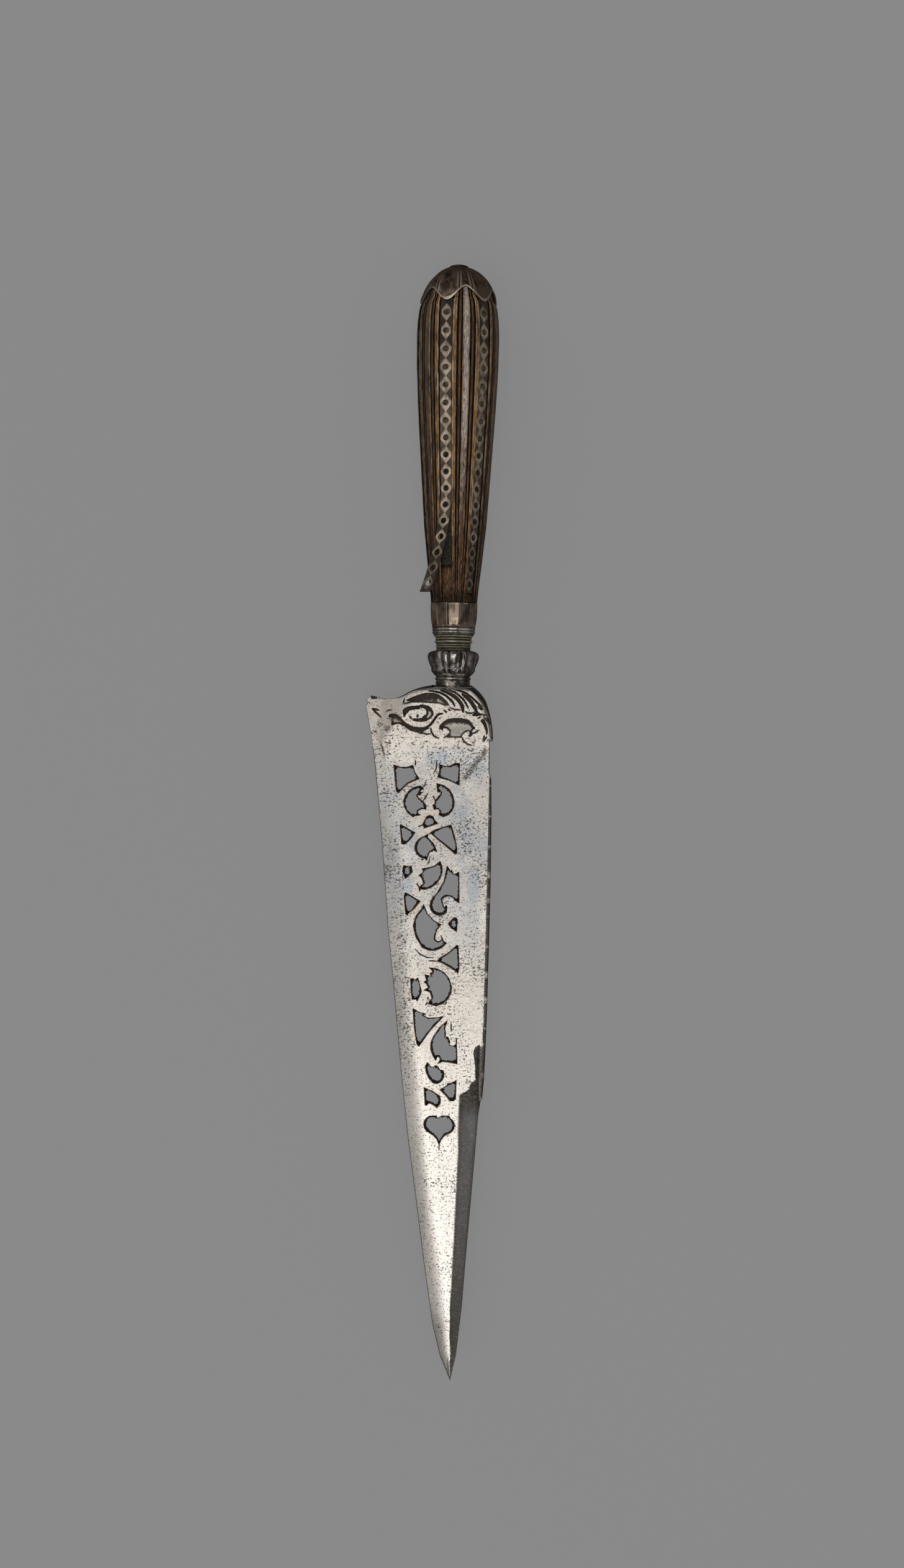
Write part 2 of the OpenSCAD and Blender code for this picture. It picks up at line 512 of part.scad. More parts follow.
// The turned neck and the knop's body
function knop_profile() = let(n = neck_d / 2, k = knop_d / 2, s = knop_len / 8.1) [
    [0, -6], [n - 1, -6], [n - 0.3, -1], [n, 0.6], [n, neck_len - 1.1], [n + 0.2, neck_len - 0.8],
    [n + 0.2, neck_len - 0.4], [n, neck_len], [k - 2, knop_y + 0.8 * s], [k - 1.2, knop_y + 1.9 * s],
    [k - 1.05, knop_y + 2.9 * s], [k - 0.3, knop_y + 4.8 * s], [k, knop_y + 5.9 * s],
    [k - 0.1, knop_y + 6.8 * s], [k - 0.5, knop_y + 7.3 * s], [k - 1.3, knop_y + 7.8 * s],
    [k - 2.5, knop_y + 8.1 * s], [0, knop_y + 8.1 * s]
];
// One groove between gadroons
module gadroon_groove() {
    k = knop_d / 2;
    s = knop_len / 8.1;
    inner = [
        [k - 1.6, knop_y + 0.8 * s], [k - 1 - gadroon_d, knop_y + 2.9 * s],
        [k - gadroon_d, knop_y + 5.9 * s], [k - 0.5 - gadroon_d, knop_y + 7.2 * s],
        [k - 2, knop_y + 8.1 * s]
    ];
    rotate([0, -90, 0]) linear_extrude(gadroon_d, center = true)
        polygon(concat(inner, [[k + over, knop_y + 8.1 * s + over], [k + over, knop_y]]));
}
module knop() difference() {
    turned(knop_profile());
    for (i = [0:gadroons - 1], a = [-118, 118] / gadroons) rotate([0, 4 + 360 * i / gadroons + a, 0])
        gadroon_groove();
}

// The tang: a round stem, a flat bar and a riveted end
module tang() {
    bar(stem_d, collar_y - over, stem_end_y);
    translate([-tang_w / 2, stem_end_y - over, -tang_t / 2])
        cube([tang_w, bar_end_y - stem_end_y + over, tang_t]);
    bar(rivet_d, bar_end_y - over, rivet_y);
}

module blade() color(steel) difference() {
    union() {
        difference() {
            pierced_blade();
            false_cut();
            mirror([0, 0, 1]) false_cut();
        }
        linear_extrude(rib_t, center = true) shape(rib);
        bolster();
        knop();
        tang();
    }
    carving();
    mirror([0, 0, 1]) carving();
}

module neck_collar() color(verdigris) difference() {
    r = collar_d / 2;
    s = collar_len / 5.4;
    turned([for (p = [
        [0, 0], [0.15, 0], [0, 0.5], [0, 0.9], [0.3, 1.2], [0.3, 1.5], [0.05, 1.8], [0.1, 2.2], [0.6, 2.6],
        [0.6, 2.9], [0.25, 3.2], [0.45, 3.6], [0.45, 3.8], [0.3, 4.1], [0.8, 4.6], [1.2, 5.4]
    ]) [r + p[0], collar_y + p[1] * s], [0, ring_y], [0, collar_y]]);
    stem_hole();
}

// The hole for the stem through the collar, the ring and the ferrule
module stem_hole() bar(stem_d + 2 * stem_gap, collar_y - over, foot_y);

module seat_ring() color(silver) difference() {
    r = ring_d / 2;
    w = ring_len;
    turned([
        [0, ring_y], [r - 0.3, ring_y], [r - 0.15, ring_y + 0.2 * w], [r - 0.35, ring_y + 0.4 * w],
        [r, ring_y + 0.55 * w], [r, ring_y + 0.9 * w], [r - 0.1, ring_y + w], [0, ring_y + w]
    ]);
    stem_hole();
}

// The ferrule's outer line from its foot to its mouth, and a rib that stands out from it
function ferrule_line(out) = let(r = ferrule_d / 2 + out) [
    [r - 0.65, ferrule_y + 0.3], [r - 0.25, ferrule_y + 0.25 * ferrule_len],
    [r, ferrule_y + 0.55 * ferrule_len], [r, grip_y - 0.8]
];
module panel_ridge() rotate([0, -90, 0]) linear_extrude(2 * panel_rib, center = true) polygon(concat(
    [[ferrule_d / 2 - 1, ferrule_y + 0.3]], ferrule_line(panel_rib), [[ferrule_d / 2 - 0.5, grip_y - 0.4]]
));
module ferrule() color(dull_silver) difference() {
    r = ferrule_d / 2;
    union() {
        turned(concat(
            [[0, ferrule_y], [r - 0.75, ferrule_y]], ferrule_line(0),
            [[r - 0.1, grip_y - 0.3], [r - 0.35, grip_y], [0, grip_y]]
        ));
        for (i = [0:panels - 1]) rotate([0, 360 * (i + 0.5) / panels, 0]) panel_ridge();
    }
    bar(foot_d + 2 * foot_gap, ferrule_y + ferrule_floor, grip_y + over);
    stem_hole();
}

// The grip's radius, as shares of its swelling along its length
grip_shape = [
    [0, 0], [0.04, 0.06], [0.15, 0.26], [0.26, 0.45], [0.36, 0.56], [0.47, 0.68], [0.58, 0.8], [0.68, 0.9],
    [0.79, 0.98], [0.9, 1], [0.95, 0.96], [0.985, 0.89], [1, 0.83]
];
function dome_r(y, a, b) = a * sqrt(max(0, 1 - pow((y - cap_y) / b, 2)));
function grip_r(y) = y <= cap_y
    ? grip_low_d / 2 + (grip_max_d - grip_low_d) / 2 * lookup((y - grip_y) / grip_len, grip_shape)
    : dome_r(y, cap_d / 2 - cap_t - cap_gap, cap_inner_h - cap_gap);
function channel_w(y) = channel_low_w + (channel_top_w - channel_low_w) * (y - grip_y) / grip_len;

// The reeds between two channels, as [share across, share of the groove's depth]
reeds = [
    [0, 0.3], [0.05, 0], [0.15, 0], [0.18, 1], [0.22, 0.3], [0.32, 0.3], [0.35, 1], [0.38, 0.1], [0.5, 0],
    [0.62, 0.1], [0.65, 1], [0.68, 0.3], [0.78, 0.3], [0.82, 1], [0.85, 0], [0.95, 0], [1, 0.3]
];
function around(r, a, y) = [r * sin(a), y, r * cos(a)];
// One ring of the fluted body. Under the cap the channels and grooves run out.
function grip_ring(y, r, cut) = let(
    w = min(channel_w(min(y, cap_y)), 0.55 * r),
    half = asin(w / 2 / r),
    floor_r = r - channel_d * cut,
    floor_half = asin(wall_lean * w / 2 / floor_r),
    groove = reed_d * cut * 2 * r / grip_max_d,
    pitch = 360 / channels
) [for (i = [0:channels - 1]) each let(c = grip_turn + pitch * i) concat(
    [for (s = [-1, 0, 1]) around(floor_r, c + s * floor_half, y)],
    [for (p = reeds) around(r - groove * p[1], c + half + (pitch - 2 * half) * p[0], y)]
)];
// The foot inside the ferrule, the fluted body, and the dome under the cap. The channels start
// shallow at the ferrule, and are at their full depth where the strips begin.
module grip() color(wood) difference() {
    axis_r = 1;
    start = strip_y - 0.3;
    loft(concat(
        [grip_ring(foot_y, axis_r, 0), grip_ring(foot_y, foot_d / 2, 0), grip_ring(grip_y, foot_d / 2, 0)],
        [grip_ring(grip_y, grip_r(grip_y), 0.3), grip_ring(start, grip_r(start), 1)],
        [for (y = band_ys(start)) if (y > start) grip_ring(y, grip_r(y), 1)],
        [for (s = [0, 0.12, 0.3, 0.5, 0.68, 0.82, 0.93]) let(y = cap_y + s * cap_inner_h)
            grip_ring(y, grip_r(y), max(0, min(1, 2 - 3 * s)))],
        [grip_ring(grip_top_y, rivet_d, 0), grip_ring(grip_top_y, axis_r, 0)]
    ));
    bar(bore_d, foot_y - over, bore_end_y);
    bar(rivet_hole_d, foot_y, cap_y + cap_h);
}

module tang_filler() color(resin) difference() {
    bar(bore_d, foot_y, bore_end_y);
    tang();
}

// The channel's floor, the strip's width, and how far along its loose stretch the first strip is
function floor_r(y) = grip_r(y) - channel_d;
function strip_w(y) = wall_lean * channel_w(y) - 2 * strip_gap;
function channel_turn(i) = grip_turn + 360 * (i - 1) / channels;
function loose_share(i, y) = i == 1 ? max(0, (loose_y - y) / (loose_y - strip_y)) : 0;
// Middle and turn of the band that lies a distance out from the floor of channel i
function strip_middle(i, y, out) = let(
    s = loose_share(i, y),
    a = channel_turn(i),
    r = floor_r(s > 0 ? loose_y : y) + out
) [r * sin(a) - loose_side * pow(s, 1.8), y, r * cos(a) + loose_lift * sin(180 * s) - loose_drop * s];
function strip_turn(i, y) = channel_turn(i) + loose_twist * loose_share(i, y);

// The four corners of a flat band's section
function band_section(middle, a, w, t) = [for (c = [[-w, -t], [-w, t], [w, t], [w, -t]] / 2)
    middle + c[0] * [cos(a), 0, -sin(a)] + c[1] * [sin(a), 0, cos(a)]];
// Heights of a band's sections from its foot to the cap, which are those of the grip
function band_ys(foot) = concat(
    [foot],
    [for (s = grip_shape) let(y = grip_y + s[0] * grip_len) if (y > foot + 0.1 && s[0] < 1) y],
    [cap_y - strip_gap]
);
// The loose stretch bends, so it has more sections
loose_steps = 10;
function strip_ys(i) = i > 1 ? band_ys(strip_y) : concat(
    [for (k = [0:loose_steps - 1]) strip_y + (loose_y - strip_y) * k / loose_steps], band_ys(loose_y)
);
// The holes stand closer together towards the ferrule
function hole_y(k) = let(u = k / (holes - 1), top = cap_y - 3.9, low = strip_y + 2.8)
    top - (top - low) * (1.1 * u - 0.1 * u * u);
module strip(i) color(silver) difference() {
    out = foil_t + strip_t / 2;
    loft([for (y = strip_ys(i))
        band_section(strip_middle(i, y, out), strip_turn(i, y), strip_w(y), strip_t)]);
    for (y = [for (k = [0:holes - 1]) hole_y(k)])
        translate(strip_middle(i, y, out)) rotate([0, strip_turn(i, y), 0])
            cylinder(d = hole_d, h = 3 * strip_t, center = true, $fn = 32);
}

module foil(i) color(green_foil) {
    a = channel_turn(i);
    loft([for (y = band_ys(i == 1 ? grip_y + foil_torn : strip_y)) let(r = floor_r(y) + foil_t / 2)
        band_section([r * sin(a), y, r * cos(a)], a, strip_w(y), foil_t)]);
}

// The cap's fluted dome. Its foot waves: a petal hangs over each channel, with an arch between.
cap_steps = 20;
function wave(u) = (1 - cos(180 * u)) / 2;
function petal(u) = u < 0.6 ? pow(cos(150 * u), 2) : u < 0.7 ? 0.5 : u < 0.9 ? 0 : 0.3;
function cap_point(k, t, radius, height, flutes) = let(
    pitch = 360 / channels,
    a = grip_turn + pitch * k / cap_steps,
    u = abs(2 * (k / cap_steps - round(k / cap_steps))),
    from = asin(arch_h * wave(u) / height),
    to = acos(rivet_hole_d / 2 / radius),
    psi = from + (to - from) * t,
    r = radius * cos(psi) - flutes * petal(u) * (1 - pow(t, 3))
) around(r, a, cap_y + height * sin(psi));
module pommel_cap() color(dull_silver) {
    last = channels * cap_steps - 1;
    loft(concat(
        [for (t = [0, 0.08, 0.2, 0.35, 0.5, 0.65, 0.8, 0.92, 1])
            [for (k = [0:last]) cap_point(k, t, cap_d / 2, cap_h, flute_d)]],
        [for (t = [1, 0.75, 0.5, 0.25, 0])
            [for (k = [0:last]) cap_point(k, t, cap_d / 2 - cap_t, cap_inner_h, 0)]]
    ), looped = true);
}

module tang_button() color(silver) {
    r = button_d / 2;
    hole = rivet_hole_d / 2;
    seat = 0.05;
    hole_seat = cap_y + cap_h * sqrt(1 - pow(2 * hole / cap_d, 2));
    turned([
        [hole, hole_seat + seat], [r, button_y + seat], [r, button_y + 0.3],
        [0.8 * r, button_y + 0.7 * button_h], [hole + 0.3, button_y + button_h],
        [hole, button_y + button_h]
    ]);
}

blade();
neck_collar();
seat_ring();
ferrule();
grip();
for (i = sides) {
    foil(i);
    strip(i);
}
pommel_cap();
tang_button();
tang_filler();
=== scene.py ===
"""The knife's looks: its visible pieces and their finish, the floor, the lights and the camera.

Lengths are in millimetres in the row's own frame: +Y to the pommel, +X to the back, +Z out of the front.
"""
from math import pi

import bpy
import numpy as np
from mathutils import Matrix, Vector, kdtree
from mathutils.bvhtree import BVHTree
from mathutils.geometry import delaunay_2d_cdt


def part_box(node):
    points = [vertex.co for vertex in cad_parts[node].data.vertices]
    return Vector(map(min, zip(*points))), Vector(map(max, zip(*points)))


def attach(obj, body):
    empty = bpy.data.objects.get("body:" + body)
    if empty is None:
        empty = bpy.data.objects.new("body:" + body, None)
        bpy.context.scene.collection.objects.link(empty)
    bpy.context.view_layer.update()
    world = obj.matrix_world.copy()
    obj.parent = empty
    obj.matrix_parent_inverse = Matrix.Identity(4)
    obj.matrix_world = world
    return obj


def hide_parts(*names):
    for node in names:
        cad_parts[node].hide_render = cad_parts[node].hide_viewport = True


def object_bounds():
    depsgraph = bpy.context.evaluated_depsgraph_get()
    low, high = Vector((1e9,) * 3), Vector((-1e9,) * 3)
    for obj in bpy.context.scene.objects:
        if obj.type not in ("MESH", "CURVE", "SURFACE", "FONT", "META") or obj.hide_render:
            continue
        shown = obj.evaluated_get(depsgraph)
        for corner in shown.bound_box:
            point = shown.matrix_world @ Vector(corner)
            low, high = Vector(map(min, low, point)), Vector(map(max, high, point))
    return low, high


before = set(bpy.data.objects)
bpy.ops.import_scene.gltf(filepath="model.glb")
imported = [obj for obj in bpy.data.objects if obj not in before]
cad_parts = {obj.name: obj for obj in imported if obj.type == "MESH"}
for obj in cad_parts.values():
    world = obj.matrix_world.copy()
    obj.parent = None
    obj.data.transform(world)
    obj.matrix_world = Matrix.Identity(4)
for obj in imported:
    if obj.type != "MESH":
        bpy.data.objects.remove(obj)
cad_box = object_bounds()
MM = 0.001
rng = np.random.default_rng(7)


def cad_arrays(node):
    """A CAD node's corners and triangles."""
    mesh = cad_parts[node].data
    mesh.calc_loop_triangles()
    v = np.empty(len(mesh.vertices) * 3)
    mesh.vertices.foreach_get("co", v)
    t = np.empty(len(mesh.loop_triangles) * 3, dtype=np.int32)
    mesh.loop_triangles.foreach_get("vertices", t)
    return v.reshape(-1, 3) / MM, t.reshape(-1, 3)


def cad_box_mm(node):
    lo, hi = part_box(node)
    return np.array(lo) / MM, np.array(hi) / MM


def smooth(a, b, x):
    """0 before a, 1 after b, with a soft change between."""
    t = np.clip((np.asarray(x, float) - a) / (b - a), 0, 1)
    return t * t * (3 - 2 * t)


def bump(x, centre, half):
    """1 at the centre, and 0 half away from it and beyond."""
    return np.clip(1 - ((np.asarray(x, float) - centre) / half) ** 2, 0, 1) ** 0.5


def bell(x, centre, width):
    """1 at the centre, falling away to both sides."""
    return np.exp(-(((x - centre) / width) ** 2))


def read(table, x, column=1):
    """A table's column at x, where its first column is x."""
    return np.interp(x, table[:, 0], table[:, column])


def around(r, y, turn):
    """Points at a radius and an angle round the long axis."""
    return np.stack(np.broadcast_arrays(r * np.sin(turn), y, r * np.cos(turn)), -1)


def profile(line, count):
    """Even steps along a line of (radius, height), as radii and heights."""
    line = np.array(line)
    run = np.concatenate([[0], np.cumsum(np.hypot(*np.diff(line, axis=0).T))])
    where = np.linspace(0, run[-1], count)
    return np.interp(where, run, line[:, 0]), np.interp(where, run, line[:, 1])


def add_piece(name, verts, faces, materials, nodes, values=None, face_material=None, sharp=40):
    """Makes one visible piece, which rides on the part and stands for the CAD nodes."""
    mesh = bpy.data.meshes.new(name)
    mesh.from_pydata((np.asarray(verts) * MM).tolist(), [], [list(map(int, f)) for f in faces])
    for key, numbers in (values or {}).items():
        mesh.attributes.new(key, "FLOAT", "POINT").data.foreach_set("value", np.asarray(numbers, np.float32))
    for m in materials:
        mesh.materials.append(m)
    if face_material is not None:
        mesh.polygons.foreach_set("material_index", np.asarray(face_material, np.int32))
    mesh.polygons.foreach_set("use_smooth", [True] * len(mesh.polygons))
    mesh.validate()
    mesh.set_sharp_from_angle(angle=np.radians(sharp))
    mesh.update()
    obj = bpy.data.objects.new(name, mesh)
    bpy.context.scene.collection.objects.link(obj)
    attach(obj, "root")
    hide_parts(*nodes)


def grid_faces(rows, columns, closed=False):
    """Quads over rows of points. Closed rows run round to their first point, and face outwards."""
    i, j = np.meshgrid(np.arange(rows - 1), np.arange(columns if closed else columns - 1), indexing="ij")
    k = (j + 1) % columns
    a = i * columns
    faces = np.stack([a + j, a + columns + j, a + columns + k, a + k], axis=-1).reshape(-1, 4)
    return faces[:, ::-1] if closed else faces


# Materials


class Nodes:
    """Builds the nodes of a material or of the world, one expression at a time."""

    def __init__(self, name, world=None):
        self.material = world or bpy.data.materials.new(name)
        self.material.use_nodes = True
        self.tree = self.material.node_tree
        self.shader = self.tree.nodes.get("Principled BSDF")
        coordinates = self.tree.nodes.new("ShaderNodeTexCoord")
        self.place = coordinates.outputs["Object"]
        self.direction = coordinates.outputs["Generated"]

    def put(self, socket, value):
        """Joins a socket to another one, or sets it to a number, a colour (tuple) or a vector (list)."""
        if isinstance(value, bpy.types.NodeSocket):
            self.tree.links.new(value, socket)
        else:
            socket.default_value = (*value, 1.0) if isinstance(value, tuple) else value

    def make(self, kind, output, inputs, **settings):
        """One output of a new node. inputs gives its sockets' values, by name or number."""
        node = self.tree.nodes.new("ShaderNode" + kind)
        for name, value in settings.items():
            setattr(node, name, value)
        for socket, value in inputs.items():
            self.put(node.inputs[socket], value)
        return node.outputs[output]

    def math(self, operation, a, b):
        return self.make("Math", 0, {0: a, 1: b}, operation=operation)

    def times(self, a, b):
        return self.math("MULTIPLY", a, b)

    def plus(self, a, b):
        return self.math("ADD", a, b)

    def scaled(self, across, along):
        """The place in the row's frame, in periods per millimetre across and along the knife."""
        scale = [across / MM, along / MM, across / MM]
        return self.make("Mapping", "Vector", {"Vector": self.place, "Scale": scale})

    def noise(self, across, along, detail=3.0, rough=0.55, offset=0.0):
        shifted = self.make("VectorMath", 0, {0: self.scaled(across, along), 1: [offset] * 3})
        inputs = {"Vector": shifted, "Scale": 1.0, "Detail": detail, "Roughness": rough}
        return self.make("TexNoise", "Fac", inputs)

    def step(self, value, low, high):
        """0 below low and 1 above high."""
        inputs = {"Value": value, "From Min": low, "From Max": high}
        return self.make("MapRange", "Result", inputs, interpolation_type="SMOOTHSTEP")

    def patches(self, low, high, *noise, **more):
        """Where noise is high, from 0 below low to 1 above high."""
        return self.step(self.noise(*noise, **more), low, high)

    def blend(self, share, a, b, kind="FLOAT"):
        """A number between a and b."""
        return self.make("Mix", "Result", {"Factor": share, "A": a, "B": b}, data_type=kind)

    def mix(self, share, a, b):
        """A colour between a and b."""
        return self.blend(share, a, b, "RGBA")

    def lay(self, share, strength, color, tone):
        """A colour with some of a tone over it."""
        return self.mix(self.times(share, strength), color, tone)

    def value(self, name):
        """A number that the mesh carries at its corners."""
        return self.make("Attribute", "Fac", {}, attribute_name=name)

    def axis(self, name, vector=None):
        """One coordinate of a vector, or of the place in millimetres."""
        return self.make("SeparateXYZ", name, {0: vector or self.scaled(1, 1)})

    def seen(self):
        """1 for what the camera sees, straight or in metal and glass, and 0 for soft light."""
        path = self.tree.nodes.new("ShaderNodeLightPath").outputs
        shown = self.math("MAXIMUM", path["Is Camera Ray"], path["Is Glossy Ray"])
        return self.math("MAXIMUM", shown, path["Is Transmission Ray"])

    def done(self, color, rough, metallic, height=None, depth=0.1, **constants):
        """Joins the shader up. height is a bump from 0 to 1, depth millimetres deep."""
        for name, value in (("Base Color", color), ("Roughness", rough), ("Metallic", metallic)):
            self.put(self.shader.inputs[name], value)
        if height is not None:
            bumped = self.make("Bump", "Normal", {"Distance": depth * MM, "Height": height})
            self.put(self.shader.inputs["Normal"], bumped)
        for name, value in constants.items():
            self.shader.inputs[name.replace("_", " ")].default_value = value
        return self.material


def blade_steel():
    """Old polish: cream and blue-grey tones, dark pits, fine marks across, brown in every hollow."""
    n = Nodes("blade_steel")
    cream = (0.56, 0.515, 0.455)
    bright = (0.68, 0.64, 0.585)
    blue = (0.31, 0.34, 0.38)
    grey = (0.33, 0.31, 0.285)
    y = n.axis("Y")
    clouds = n.noise(0.07, 0.05, 5, 0.6)
    toward_heel = n.times(n.step(y, -100.0, -50.0), n.step(y, -15.0, -24.0))
    tint = n.math("MAXIMUM", n.times(toward_heel, n.step(clouds, 0.40, 0.62)),
                  n.step(n.plus(n.value("blue"), n.times(clouds, 0.6)), 0.5, 0.95))
    color = n.lay(tint, 0.85, cream, blue)
    shining = n.patches(0.5, 0.7, 0.18, 0.14, 5, 0.6, 9)
    color = n.lay(shining, 0.7, color, bright)
    greyed = n.patches(0.48, 0.7, 0.35, 1.3, 6, 0.65, 3)
    color = n.lay(greyed, 0.75, color, grey)
    near_tip = n.step(y, -85.0, -155.0)
    flank = n.value("flank")
    # Away from the bevels, the flats towards the tip are painted paler, as painted highlight
    level = n.times(near_tip, n.math("SUBTRACT", 1.0, flank))
    color = n.lay(level, 0.68, color, (0.79, 0.755, 0.70))
    sand = n.times(level, n.patches(0.5, 0.66, 1.0, 1.2, 5, 0.65, 70))
    color = n.lay(sand, 0.4, color, (0.70, 0.60, 0.47))
    greyer = n.times(n.step(y, -24.0, -32.0), n.step(y, -80.0, -55.0))
    color = n.lay(greyer, 0.3, color, (0.34, 0.33, 0.32))
    color = n.lay(n.step(y, -24.0, -12.0), 0.5, color, (0.32, 0.285, 0.245))
    # The bevels and other tilted faces are painted darker, as painted shade
    flank_tone = n.mix(near_tip, (0.25, 0.245, 0.24), (0.40, 0.375, 0.345))
    color = n.mix(n.times(flank, n.blend(near_tip, 0.4, 0.6)), color, flank_tone)
    speck = n.noise(1.2, 1.7, 5, 0.65, 21)
    crowd = n.noise(0.10, 0.08, 4, 0.6, 40)
    calm = n.times(near_tip, 0.045)
    crowded = n.plus(speck, n.times(crowd, 0.4))
    pits = n.step(n.math("SUBTRACT", crowded, calm), 0.785, 0.835)
    fine_specks = n.plus(n.noise(1.9, 1.9, 2, 0.5, 60), n.times(near_tip, 0.03))
    freckle = n.step(fine_specks, 0.645, 0.70)
    pits = n.math("MAXIMUM", pits, n.times(freckle, 0.8))
    grain = n.patches(0.42, 0.68, 6.0, 7.5, 2, 0.5, 90)
    color = n.lay(grain, 0.28, color, (0.16, 0.145, 0.13))
    stain = n.plus(n.value("stain"), n.times(n.noise(1.8, 2.2, 6, 0.75, 77), 1.3))
    stain = n.step(stain, 1.0, 1.2)
    dark = (0.050, 0.040, 0.033)
    dusky = n.mix(n.step(speck, 0.4, 0.6), (0.055, 0.045, 0.037), (0.19, 0.165, 0.14))
    color = n.mix(n.value("dull"), color, dusky)
    color = n.lay(pits, 0.85, color, dark)
    color = n.lay(stain, 0.85, color, dark)
    sooty = n.mix(n.step(speck, 0.38, 0.60), (0.06, 0.050, 0.043), (0.30, 0.275, 0.25))
    color = n.lay(n.value("ground"), 0.6, color, sooty)
    warm = n.times(n.value("rim"), n.patches(0.48, 0.60, 0.45, 0.45, 3, 0.6, 33))
    color = n.lay(warm, 0.75, color, (0.48, 0.29, 0.14))
    color = n.mix(n.value("shade"), color, (0.024, 0.020, 0.017))
    rust = n.patches(0.58, 0.70, 0.7, 0.7, 4, 0.6, 13)
    rust = n.mix(rust, (0.030, 0.022, 0.017), (0.20, 0.085, 0.03))
    ragged = n.math("SUBTRACT", n.noise(1.8, 1.8, 5, 0.65, 51), 0.5)
    hollow = n.step(n.plus(n.value("hollow"), n.times(ragged, 0.75)), 0.2, 0.6)
    color = n.mix(hollow, color, rust)
    worn = n.math("SUBTRACT", 1.0, n.math("MAXIMUM", hollow, pits))
    metallic = n.times(worn, 0.97)
    fine = n.noise(1.2, 14.0, 3, 0.6, 5)
    rough = n.blend(hollow, n.blend(fine, 0.26, 0.40), 0.7)
    height = n.plus(n.times(fine, 0.10), n.times(pits, -0.6))
    return n.done(color, rough, metallic, height, 0.07, Specular_IOR_Level=0.2)


def wall_steel():
    """The sawn walls of the openings: black-brown scale with rust."""
    n = Nodes("blade_walls")
    rust = n.patches(0.55, 0.7, 0.9, 0.9, 4, offset=2)
    color = n.mix(rust, (0.026, 0.020, 0.016), (0.13, 0.062, 0.025))
    return n.done(color, 0.62, 0.3, n.noise(2.5, 2.5, 3), 0.15, Specular_IOR_Level=0.2)


# What dark metal reflects at a low angle
EDGE_TINT = (0.35, 0.31, 0.27, 1.0)


def dark_steel():
    """The turned knop: brown-black steel, polished on its high places."""
    n = Nodes("knop_steel")
    cloud = n.noise(0.35, 0.35, 4)
    color = n.mix(n.step(cloud, 0.42, 0.62), (0.13, 0.112, 0.098), (0.60, 0.55, 0.50))
    # The knop's hollow value holds its grooves and the painted shade on its sides
    hollow = n.step(n.value("hollow"), 0.1, 0.7)
    color = n.lay(hollow, 0.93, color, (0.018, 0.014, 0.012))
    speck = n.patches(0.62, 0.7, 2.2, 2.2, 3, offset=8)
    color = n.lay(speck, 0.6, color, (0.03, 0.024, 0.02))
    return n.done(color, n.blend(hollow, 0.22, 0.5), n.blend(hollow, 0.95, 0.5), cloud, 0.05,
                  Specular_IOR_Level=0.1, Specular_Tint=EDGE_TINT)


def silver(name, pale, dark, rough, ridge=(0.70, 0.61, 0.52)):
    """Worn silver, brown-tarnished in its hollows; its hollow value also carries painted shade on a piece's
    sides.
    """
    n = Nodes(name)
    cloud = n.noise(0.3, 0.3, 5)
    streak = n.noise(1.6, 0.2, 4, offset=4)
    side_shade_and_tarnish = n.plus(n.times(cloud, 0.6), n.times(streak, 0.4))
    color = n.mix(n.step(side_shade_and_tarnish, 0.42, 0.6), pale, dark)
    # Ridges are painted pale: rubbed wear, and on the cap's lips partly painted highlight
    color = n.lay(n.value("ridge"), 0.85, color, ridge)
    hollow = n.step(n.value("hollow"), 0.08, 0.85)
    color = n.lay(hollow, 0.94, color, (0.020, 0.016, 0.013))
    scratch = n.noise(5.0, 1.0, 3, offset=12)
    roughness = n.blend(hollow, n.blend(scratch, rough - 0.06, rough + 0.1), 0.6)
    height = n.plus(n.times(cloud, 0.5), n.times(scratch, 0.15))
    return n.done(color, roughness, n.blend(hollow, 0.95, 0.4), height, 0.06,
                  Specular_IOR_Level=0.1, Specular_Tint=EDGE_TINT)


def copper_alloy():
    """The turned collar: green-brown corrosion with metal showing on its ridges."""
    n = Nodes("collar_alloy")
    cloud = n.noise(0.5, 1.2, 5)
    color = n.mix(n.step(cloud, 0.42, 0.6), (0.075, 0.064, 0.044), (0.17, 0.155, 0.105))
    color = n.mix(n.patches(0.58, 0.70, 1.6, 1.6, 3, offset=6), color, (0.06, 0.085, 0.052))
    color = n.mix(n.patches(0.56, 0.66, 2.6, 3.4, 4, 0.6, 19), color, (0.030, 0.024, 0.018))
    hollow = n.step(n.value("hollow"), 0.1, 0.8)
    color = n.lay(hollow, 0.85, color, (0.022, 0.019, 0.013))
    shine = n.step(n.value("ridge"), 0.4, 1.0)
    color = n.lay(shine, 0.8, color, (0.50, 0.46, 0.37))
    return n.done(color, n.blend(shine, 0.55, 0.33), n.blend(shine, 0.35, 0.9), cloud, 0.08,
                  Specular_IOR_Level=0.15, Specular_Tint=EDGE_TINT)


